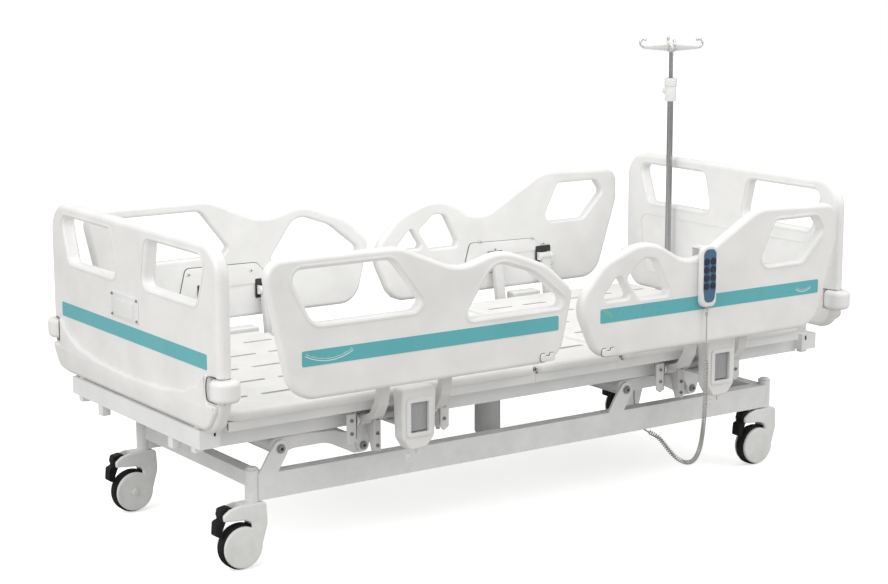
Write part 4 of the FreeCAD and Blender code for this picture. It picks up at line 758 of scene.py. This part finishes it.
def shaftBracket(side, sign, end, mount):
    start, stop, front, sheet, wall, edge = (bracketSettings[key] for key in (
        "start", "end", "front", "sheet", "wall", "edge"))
    face = roundedRing([(start, 0.394, 0.002), (start, 0.326, 0.006), (start + 0.012, 0.304, 0.006),
                        (stop, 0.316, 0.006), (stop, 0.394, 0.002)])
    fold = roundedRing([(wall, 0.394, 0.002), (wall, 0.352, 0.004), (front - 0.014, 0.306, 0.006),
                        (front + sheet, 0.312, 0.004), (front + sheet, 0.394, 0.002)])
    fold = [(sign * y, z) for y, z in fold][::sign]
    for way, along in ((-1, "foot"), (1, "head")):
        ring = [(mount + way * x, z) for x, z in face][::way]
        plate(f"bracket_face_{side}_{end}_{along}", "upper", "armCoat", side, front, [flip(side, ring)],
              sheet, edge)
        plate(f"bracket_fold_{side}_{end}_{along}", "upper", "armCoat", along, way * mount + start,
              [flip(along, fold)], sheet, edge)


def coverChannel(side, sign, end, mount):
    front, sheet, wall, edge = (bracketSettings[key] for key in ("front", "sheet", "wall", "edge"))
    left, right = mount + channelSettings["left"], mount + channelSettings["right"]
    channel = roundedRing([(left, 0.402, 0.002), (left, 0.284, 0.004), (right, 0.276, 0.004),
                           (right, 0.402, 0.002)])
    plate(f"cover_channel_{side}_{end}", "upper", "armCoat", side, front, [flip(side, channel)], sheet, edge)
    lip = roundedRing([(wall, 0.400, 0.002), (wall, 0.354, 0.004), (front - 0.012, 0.280, 0.005),
                       (front + 0.001, 0.280, 0.001), (front + 0.001, 0.400, 0.002)])
    lip = [(sign * y, z) for y, z in lip][::sign]
    for x in channelSettings["lips"]:
        plate(f"channel_lip_{side}_{end}_{round(-x * 1000)}", "upper", "armCoat", "head", mount + x, [lip],
              sheet, edge)


def bracketBolts(side, sign, end, mount):
    level = sign * (bracketSettings["front"] + bracketSettings["sheet"])
    points = [(mount + way * bracketSettings["boltPlace"], level, z)
              for way in (-1, 1) for z in bracketSettings["boltHeights"]]
    points += [(mount + channelSettings["boltPlace"], level, z) for z in channelSettings["boltHeights"]]
    bolts(f"bracket_bolts_{side}_{end}", "upper", points, (0, sign, 0), *bracketSettings["bolt"])


for end, mount in railMounts.items():
    for side, sign in bedSides:
        latchCover(side, end, mount)
        shaftBracket(side, sign, end, mount)
        coverChannel(side, sign, end, mount)
        bracketBolts(side, sign, end, mount)
print("latch covers dressed")


# Deck: a raised lip round every slot, one Geometry Nodes tree for all four panels
def slotTree():
    tree, entry, leave = nodeTree("slotLips", [
        ("Slot Length", "Float", 0.08), ("Slot Width", "Float", 0.018), ("Lip Radius", "Float", 0.0022),
        ("Lip Finish", "Material", None)])
    width = entry["Slot Width"]
    total = addNode(tree, "ShaderNodeMath", {0: entry["Slot Length"], 1: width})
    total.operation = "ADD"
    half = addNode(tree, "ShaderNodeMath", {0: width, 1: 0.495})
    half.operation = "MULTIPLY"
    box = addNode(tree, "GeometryNodeCurvePrimitiveQuadrilateral",
                  {"Width": total.outputs[0], "Height": width})
    bend = addNode(tree, "GeometryNodeFilletCurve", {"Curve": box.outputs[0], "Radius": half.outputs[0]})
    bend.mode = "POLY"
    bend.inputs["Count"].default_value = 6
    ring = addNode(tree, "GeometryNodeCurvePrimitiveCircle", {"Resolution": 8, "Radius": entry["Lip Radius"]})
    lip = addNode(tree, "GeometryNodeCurveToMesh", {
        "Curve": bend.outputs[0], "Profile Curve": ring.outputs["Curve"]})
    place = addNode(tree, "GeometryNodeInstanceOnPoints", {
        "Points": entry["Geometry"], "Instance": lip.outputs[0]})
    real = addNode(tree, "GeometryNodeRealizeInstances", {0: place.outputs[0]})
    paint = addNode(tree, "GeometryNodeSetMaterial", {
        "Geometry": real.outputs[0], "Material": entry["Lip Finish"]})
    tree.links.new(paint.outputs[0], leave)
    return tree


slotLips = slotTree()
deckSettings = {"length": 0.080, "width": 0.0195, "lip": 0.0016, "along": 0.138, "across": 0.15,
                "high": 0.4592}
deckPanels = {"calf": (-1.035, -0.445, 4), "thigh": (-0.415, -0.053, 2), "seat": (-0.037, 0.259, 2),
              "back": (0.275, 1.0, 5)}
for section, (foot, head, columns) in deckPanels.items():
    spots = [((foot + head) / 2 + (column - (columns - 1) / 2) * deckSettings["along"],
              line * deckSettings["across"], deckSettings["high"])
             for column in range(columns) for line in (-2, -1, 0, 1, 2)]
    runTree(f"slot_lips_{section}", "upper" if section == "seat" else section, slotLips, spots,
            {"Slot Length": deckSettings["length"], "Slot Width": deckSettings["width"],
             "Lip Radius": deckSettings["lip"], "Lip Finish": finishes["deckPlastic"]})
print("deck dressed")


# Handset: a blue face with holes that the buttons stand in, and a dark ring round each button
handsetSettings = {"middle": 0.478, "front": 0.5695, "column": 0.0125, "rows": (0.650, 0.674, 0.698, 0.722),
                   "hole": 0.0090, "ring": (0.0111, 0.0092), "sunk": 0.0001, "faceThick": 0.0008,
                   "ringThick": 0.0004}
faceOutline = [(-0.0175, 0.602, 0.016), (0.0175, 0.602, 0.016), (0.0235, 0.640, 0.05), (0.0235, 0.758, 0.018),
               (-0.0235, 0.758, 0.018), (-0.0235, 0.640, 0.05)]


def handsetFace():
    middle, level = handsetSettings["middle"], handsetSettings["front"] - handsetSettings["sunk"]
    places = [(middle + sign * handsetSettings["column"], row) for row in handsetSettings["rows"]
              for sign in (-1, 1)]
    outline = roundedRing([(middle + x, z, radius) for x, z, radius in faceOutline], 8)
    holes = [circle(*place, handsetSettings["hole"])[::-1] for place in places]
    plate("handset_face", "handset", "handsetBlue", "near", level, [outline] + holes,
          handsetSettings["faceThick"])
    rings = [circle(*place, radius) for place in places for radius in handsetSettings["ring"]]
    plate("button_rings", "handset", "buttonNavy", "near", level + handsetSettings["faceThick"], rings,
          handsetSettings["ringThick"])


# Strain relief: a ribbed sleeve that narrows down the cord
reliefSettings = {"place": (0.4782, -0.5592), "top": 0.590, "bottom": 0.560, "wide": 0.0052, "narrow": 0.0030,
                  "rib": 0.0005, "levels": 13, "sides": 16}


def strainRelief():
    shell = bmesh.new()
    (x, y), sides, last = reliefSettings["place"], reliefSettings["sides"], None
    for index in range(reliefSettings["levels"]):
        part = index / (reliefSettings["levels"] - 1)
        radius = reliefSettings["wide"] + (reliefSettings["narrow"] - reliefSettings["wide"]) * part
        radius += reliefSettings["rib"] if index % 2 else 0.0
        z = reliefSettings["top"] + (reliefSettings["bottom"] - reliefSettings["top"]) * part
        loop = [shell.verts.new((*spot, z)) for spot in circle(x, y, radius, sides)]
        if last is None:
            shell.faces.new(loop[::-1])
        else:
            for i in range(sides):
                shell.faces.new((last[i], last[(i + 1) % sides], loop[(i + 1) % sides], loop[i]))
        last = loop
    shell.faces.new(last)
    bmesh.ops.recalc_face_normals(shell, faces=shell.faces)
    mesh = bpy.data.meshes.new("cord_relief")
    shell.to_mesh(mesh)
    shell.free()
    finishPiece(newPiece("cord_relief", mesh), "handset", "cordSleeve")


handsetFace()
strainRelief()
print("handset dressed")


# Bolts on the lift pivots and the deck hinges, and caps on the stems
stemPlaces = {"foot": -0.905, "head": 0.935}
liftBolts = {"foot": -0.826, "head": 0.359, "reach": 0.258, "side": 0.3452, "low": 0.315, "high": 0.286,
             "lowSize": (0.013, 0.006), "highSize": (0.012, 0.006), "sides": 24}
hingeBolts = {"upper": (-0.045, 0.267), "knee": (-0.43,), "side": 0.4252, "high": 0.445,
              "size": (0.0068, 0.0035), "sides": 6}
stemCaps = {"side": 0.325, "high": 0.2662, "size": (0.0185, 0.006), "sides": 32}

# End beams of the upper frame: an upright slot drawn as a near-black sheet of painted shade, and two square
# feet at each end
beamSlot = {"place": 1.046, "half": 0.003, "low": 0.391, "high": 0.405, "round": 0.003, "level": 0.3896,
            "thick": 0.0012}
beamFeet = {"outer": (0.345, 0.011, 0.343), "inner": (0.215, 0.014, 0.328)}
footSettings = {"top": 0.3603, "round": 0.002, "level": 1.061, "sheet": (0.026, 0.002)}


def beamEnd(side, sign, end, way):
    x, half = way * beamSlot["place"], beamSlot["half"]
    slot = band(x - half, x + half, beamSlot["low"], beamSlot["high"], beamSlot["round"])
    # painted shade: the slot is a near-black sheet where the hole would be dark
    plate(f"beam_hole_shade_{side}_{end}", "upper", "paintedGapShade", side, beamSlot["level"], [flip(side, slot)],
          beamSlot["thick"])
    for label, (place, footHalf, low) in beamFeet.items():
        foot = band(sign * place - footHalf, sign * place + footHalf, low, footSettings["top"],
                    footSettings["round"])
        plate(f"beam_foot_{label}_{side}_{end}", "upper", "powderCoat", end, footSettings["level"],
              [flip(end, foot)], *footSettings["sheet"])


def liftPivots(side, sign, end):
    place, level = liftBolts[end], sign * liftBolts["side"]
    # The sockets of these bolts are painted shade
    bolts(f"lift_bolt_{side}_{end}", "base", [(place, level, liftBolts["low"])], (0, sign, 0),
          *liftBolts["lowSize"], liftBolts["sides"], socket="paintedSocketShade")
    bolts(f"upper_bolt_{side}_{end}", "upper", [(place + liftBolts["reach"], level, liftBolts["high"])],
          (0, sign, 0), *liftBolts["highSize"], liftBolts["sides"], socket="paintedSocketShade")


for side, sign in bedSides:
    for end in ("foot", "head"):
        liftPivots(side, sign, end)
    for name, body, key in (("hinge_bolts", "upper", "upper"), ("knee_bolts", "thigh", "knee")):
        spots = [(x, sign * hingeBolts["side"], hingeBolts["high"]) for x in hingeBolts[key]]
        bolts(f"{name}_{side}", body, spots, (0, sign, 0), *hingeBolts["size"], hingeBolts["sides"])
    for end, place in stemPlaces.items():
        spot = (place, sign * stemCaps["side"], stemCaps["high"])
        bolts(f"stem_caps_{side}_{end}", "base", [spot], (0, 0, 1), *stemCaps["size"], stemCaps["sides"],
              head="casterPlastic", socket="powderCoat")
    for end, way in (("foot", -1), ("head", 1)):
        beamEnd(side, sign, end, way)
print("bolts and beam ends made")


# Drip pole: a white collar in two steps, a cap over the clamp's knob and two crossed hook bars
poleCollar = {"low": (1.0970, 0.0490, 0.0192), "top": (1.1462, 0.0270, 0.0212), "inside": 0.0173,
              "edge": 0.0008}
poleKnob = {"level": 0.2585, "high": 1.130, "radius": 0.0118, "sheet": (0.0172, 0.0012)}
hookBar = {"ring": [(-0.088, 1.2695), (-0.013, 1.2625), (0.013, 1.2625), (0.088, 1.2695), (0.088, 1.2765),
                    (0.013, 1.2835), (-0.013, 1.2835), (-0.088, 1.2765)], "thick": 0.0096, "edge": 0.0012}


def dripPole():
    x, y = poleSettings["place"]
    for label in ("low", "top"):
        start, tall, radius = poleCollar[label]
        plate(f"pole_collar_{label}", "pole_tube", "shellPlastic", "top", start,
              [circle(x, y, radius, 40), circle(x, y, poleCollar["inside"], 40)], tall, poleCollar["edge"])
    plate("pole_knob", "pole_tube", "shellPlastic", "far", poleKnob["level"],
          [circle(-x, poleKnob["high"], poleKnob["radius"], 32)], *poleKnob["sheet"])
    for arm in range(2):
        turned = faces[f"hooks{arm}"].transposed() @ Vector((x, y, 0))
        plate(f"hook_bar_{arm}", "pole_rod", "hookCoat", f"hooks{arm}", turned.z - hookBar["thick"] / 2,
              [[(turned.x + across, z) for across, z in hookBar["ring"]]], hookBar["thick"], hookBar["edge"])


dripPole()
print("pole dressed")


# Casters: a cap on the inner end of each axle
axleCap = {"back": 0.04, "side": 0.2998, "high": 0.0625, "size": (0.012, 0.003), "sides": 28}
for end, place in stemPlaces.items():
    for side, sign in bedSides:
        bolts(f"axle_cap_{side}_{end}", f"caster_{side}_{end}",
              [(place - axleCap["back"], sign * axleCap["side"], axleCap["high"])], (0, -sign, 0),
              *axleCap["size"], axleCap["sides"], head="casterPlastic", socket="casterPlastic")
print("casters dressed")


# Stage: pale floor, soft studio light, white background for the camera alone
stageSettings = {"softColour": (1.0, 0.99, 0.97, 1), "softStrength": 0.70, "floorHalf": 14,
                 "floorLevel": -0.0005, "floorColour": (0.86, 0.86, 0.86, 1),
                 "bounceColour": (0.52, 0.515, 0.505, 1), "floorGlow": 0.62}
lamps = {"key": ((-4.4, -1.5, 3.2), 2.6, 88), "fill": ((3.2, -3.2, 2.4), 3.0, 46),
         "top": ((0.2, -0.2, 4.2), 3.0, 58)}
white = (1, 1, 1, 1)


def emptyTree(owner):
    owner.use_nodes = True
    owner.node_tree.nodes.clear()
    return owner.node_tree


def cameraSees(tree, others, seen, outputKind):
    ray = tree.nodes.new("ShaderNodeLightPath").outputs["Is Camera Ray"]
    mix = addNode(tree, "ShaderNodeMixShader", {0: ray, 1: others.outputs[0], 2: seen.outputs[0]})
    addNode(tree, outputKind, {0: mix.outputs[0]})


def studioWorld():
    world = bpy.data.worlds.new("studio")
    scene.world = world
    tree = emptyTree(world)
    soft = addNode(tree, "ShaderNodeBackground", {
        "Color": stageSettings["softColour"], "Strength": stageSettings["softStrength"]})
    plain = addNode(tree, "ShaderNodeBackground", {"Color": white, "Strength": 1.0})
    cameraSees(tree, soft, plain, "ShaderNodeOutputWorld")


def paleFloor():
    half, level = stageSettings["floorHalf"], stageSettings["floorLevel"]
    mesh = bpy.data.meshes.new("floor")
    mesh.from_pydata([(-half, -half, level), (half, -half, level), (half, half, level),
                      (-half, half, level)], [], [(0, 1, 2, 3)])
    floor = newPiece("floor", mesh)
    finish = bpy.data.materials.new("paleFloor")
    tree = emptyTree(finish)
    bounce = addNode(tree, "ShaderNodeBsdfDiffuse", {"Color": stageSettings["bounceColour"]})
    diffuse = addNode(tree, "ShaderNodeBsdfDiffuse", {"Color": stageSettings["floorColour"]})
    glow = addNode(tree, "ShaderNodeEmission", {"Color": white, "Strength": stageSettings["floorGlow"]})
    seen = addNode(tree, "ShaderNodeAddShader", {0: diffuse.outputs[0], 1: glow.outputs[0]})
    cameraSees(tree, bounce, seen, "ShaderNodeOutputMaterial")
    floor.data.materials.append(finish)


def studioLamp(name, place, size, power):
    data = bpy.data.lights.new(name, "AREA")
    data.shape = "SQUARE"
    data.size = size
    data.energy = power
    lamp = bpy.data.objects.new(name, data)
    lamp.location = place
    lamp.rotation_euler = (Vector((0, 0, 0.5)) - Vector(place)).to_track_quat("-Z", "Y").to_euler()
    scene.collection.objects.link(lamp)


studioWorld()
paleFloor()
for name, (place, size, power) in lamps.items():
    studioLamp(name, place, size, power)
print("stage made")
